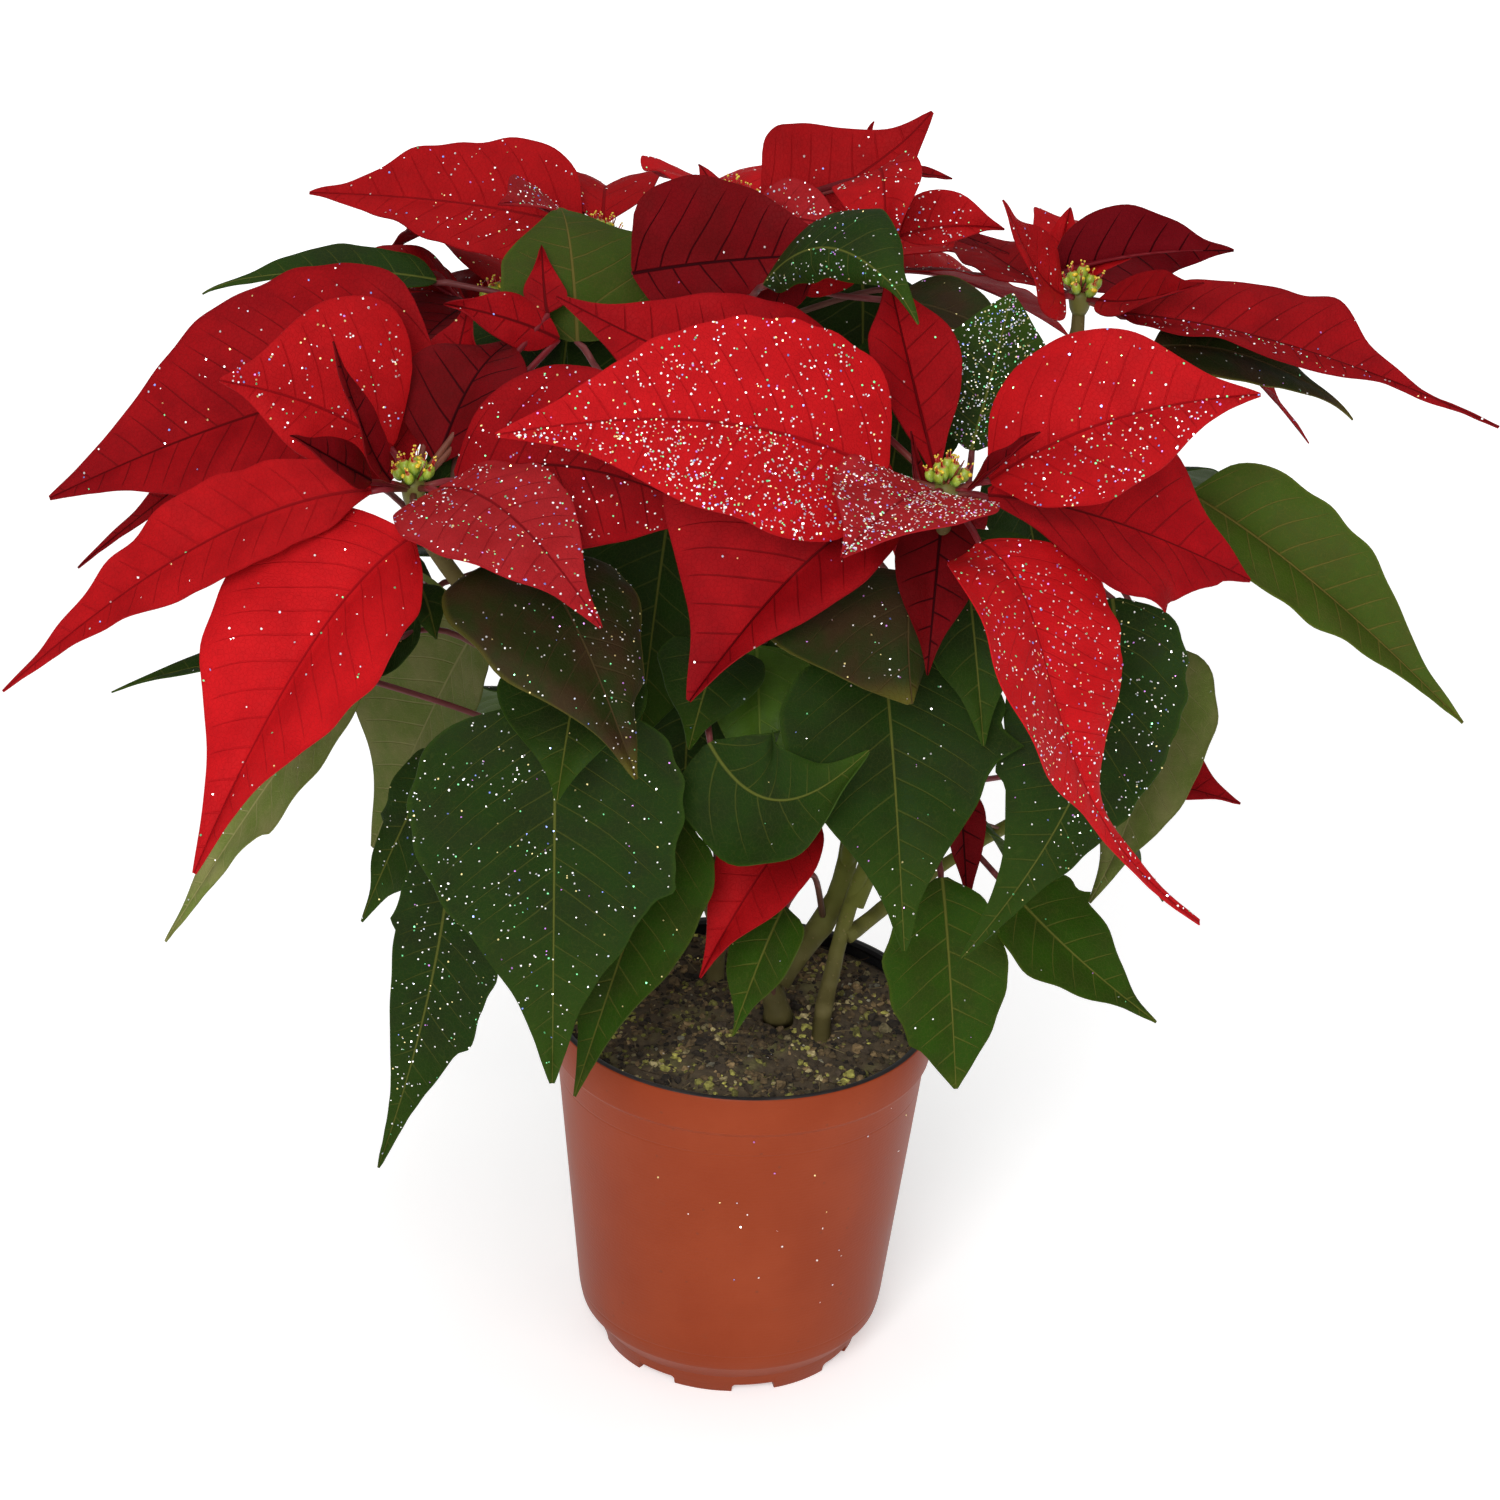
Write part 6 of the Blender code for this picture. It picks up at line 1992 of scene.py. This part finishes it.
@dataclass
class Studio:
    """The floor, the lights and the camera. Places are in millimetres."""

    eye: Point = (0.0, -1139.0, 756.0)
    target: Point = (-1.5, 0.0, 223.7)
    roll: float = 2.64
    lens: float = 91.1
    floor_size: float = 9.0

    def build(self, floor_material: bpy.types.Material) -> None:
        """Sets the studio up.

        Args:
            floor_material: The floor's plain white, with its painted glow.
        """
        bm = bmesh.new()
        bmesh.ops.create_grid(bm, x_segments=1, y_segments=1, size=self.floor_size)
        floor = linked("studio_floor", mesh_of("studio_floor", bm))
        floor.data.materials.append(floor_material)
        self.light("key", (-260, -1500, 1120), (0, 0, 230), 700, 23.0)
        self.light("fill", (900, -1300, 700), (0, 0, 220), 1300, 5.0)
        self.light("top", (0, 200, 1700), (0, 0, 200), 1600, 13.0)
        world = bpy.data.worlds.new("studio")
        world.use_nodes = True
        backdrop = world.node_tree.nodes["Background"]
        backdrop.inputs["Color"].default_value = (1.0, 1.0, 1.0, 1.0)
        backdrop.inputs["Strength"].default_value = 0.3
        bpy.context.scene.world = world
        data = bpy.data.cameras.new("camera")
        data.lens = self.lens
        data.sensor_width = 36.0
        camera = linked("camera", data)
        eye, target = Vector(self.eye) * MM, Vector(self.target) * MM
        turn = (target - eye).to_track_quat("-Z", "Y").to_matrix().to_4x4()
        roll = Matrix.Rotation(math.radians(self.roll), 4, "Z")
        camera.matrix_world = Matrix.Translation(eye) @ turn @ roll
        bpy.context.scene.camera = camera
        bpy.context.scene.view_settings.view_transform = "Standard"

    def light(self, name: str, place: Point, target: Point, size: float, power: float) -> None:
        """Adds a soft square light.

        Args:
            name: Its name.
            place: Where it hangs.
            target: What it faces.
            size: Its side.
            power: Its power in watts.
        """
        data = bpy.data.lights.new(name, "AREA")
        data.size = size * MM
        data.energy = power
        lamp = linked(name, data)
        lamp.location = Vector(place) * MM
        lamp.rotation_euler = (Vector(target) - Vector(place)).to_track_quat("-Z", "Y").to_euler()


def build_blades(arrangement: Arrangement) -> list[Lamina]:
    """Builds every leaf and bract.

    Args:
        arrangement: What places them.

    Returns:
        The blades, built.
    """
    materials = {dye: dye.value.material() for dye in Dye}
    laminas = []
    for order, blade in enumerate(arrangement.placed_blades()):
        lamina = Lamina(blade, dress_of(blade, order), arrangement.habit, order)
        lamina.build(materials)
        laminas.append(lamina)
    LOG.info("blades: %d pieces", len(laminas))
    return laminas


def build_stems(laminas: Sequence[Lamina], habit: Habit, finishes: Finishes) -> None:
    """Builds the stems, and the stalks of the leaves and the bracts.

    Args:
        laminas: The blades.
        habit: How the plant grows.
        finishes: The materials.
    """
    bark = finishes.bark()
    green = finishes.stalk("stalk_leaf", (0.1, 0.045, 0.03), (0.13, 0.03, 0.03), (0.15, 0.17, 0.05))
    red = finishes.stalk("stalk_bract", (0.14, 0.05, 0.03), (0.13, 0.008, 0.012), (0.14, 0.003, 0.007))
    blades = [lamina.blade for lamina in laminas]
    for name, forks in STEMS.items():
        Stem(name, forks, habit, blades).build(bark)
        LOG.info("stem: %s", name)
    nodes = {habit.node_of(blade): blade.green for blade in blades}
    for node, leafy in nodes.items():
        own = [lamina for lamina in laminas if habit.node_of(lamina.blade) == node]
        Stalks(node, own).build(green if leafy else red)
        LOG.info("stalks: %s", node)


def build_heads(habit: Habit, finishes: Finishes) -> None:
    """Builds the hubs and the small flowers.

    Args:
        habit: How the plant grows.
        finishes: The materials.
    """
    hub = finishes.stalk("hub_olive", (0.1, 0.09, 0.02), (0.1, 0.09, 0.02), (0.1, 0.09, 0.02))
    flower = finishes.flower()
    for order, home in enumerate(HEADS):
        head = Head(home, habit, order)
        head.build_hub(hub)
        head.build_buds(flower)
        LOG.info("head: %s", home)


def build_pot(finishes: Finishes) -> None:
    """Builds the pot and its compost.

    Args:
        finishes: The materials.
    """
    pot = Pot()
    shell = pot.build(finishes.terracotta(), finishes.black_plastic())
    LOG.info("pot: %d faces", len(shell.data.polygons))
    compost = Compost(pot)
    compost.build_bed(finishes.peat())
    crumbs = compost.build_crumbs(finishes.crumbs())
    LOG.info("compost: %d faces of crumbs", len(crumbs.data.polygons))


def fallen_spots(pot: Pot, compost: Compost, count: int = 24, seed: int = 5) -> list[Spot]:
    """Picks places for the flakes that fell on the pot's wall and on the compost.

    Args:
        pot: The pot.
        compost: Its compost.
        count: How many flakes each of them gets.
        seed: What the random draws start from.

    Returns:
        Points and normals, in millimetres.
    """
    rng = np.random.default_rng(seed)
    spots = []
    for turn, share in rng.normal((-1.0, 0.7), (0.5, 0.25), (count, 2)).clip((-3.0, 0.02), (0.0, 0.98)):
        out = Vector((math.cos(turn), math.sin(turn), 0))
        level = pot.heel_height + share * (pot.height - pot.band_height - pot.heel_height)
        wall = pot.taper_radius + share * (pot.rim_radius - pot.band_step - pot.taper_radius)
        spots.append((out * wall + Vector((0, 0, level)), out))
    for turn, share in rng.uniform((0.0, 0.1), (math.tau, 1.0), (count, 2)):
        reach = math.sqrt(share) * (pot.rim_radius - 6)
        x, y = reach * math.cos(turn), reach * math.sin(turn)
        spots.append((Vector((x, y, compost.height_at(x, y) + 1.2)), Vector((0, 0, 1))))
    return spots


def build_glitter(laminas: Sequence[Lamina], finishes: Finishes) -> None:
    """Strews the glitter.

    Args:
        laminas: The blades, built.
        finishes: The materials.
    """
    foil = finishes.glitter()
    pot = Pot()
    Glitter("glitter_fallen").build(fallen_spots(pot, Compost(pot)), foil)
    for name, green, radius in (
        ("glitter_bracts", False, (0.22, 0.42)),
        ("glitter_leaves", True, (0.18, 0.36)),
    ):
        spots = []
        for lamina in laminas:
            if lamina.blade.green == green:
                spots += lamina.scatter(lamina.dress.glitter)
        Glitter(name, radius).build(spots, foil)
        LOG.info("%s: %d flakes", name, len(spots))


def main() -> None:
    """Builds the plant, its pot and the studio."""
    logging.basicConfig(level=logging.INFO, format="%(name)s %(message)s")
    arrangement = Arrangement()
    finishes = Finishes()
    laminas = build_blades(arrangement)
    build_stems(laminas, arrangement.habit, finishes)
    build_heads(arrangement.habit, finishes)
    build_pot(finishes)
    build_glitter(laminas, finishes)
    Studio().build(finishes.floor())
    bpy.context.view_layer.update()


if __name__ == "__main__":
    main()
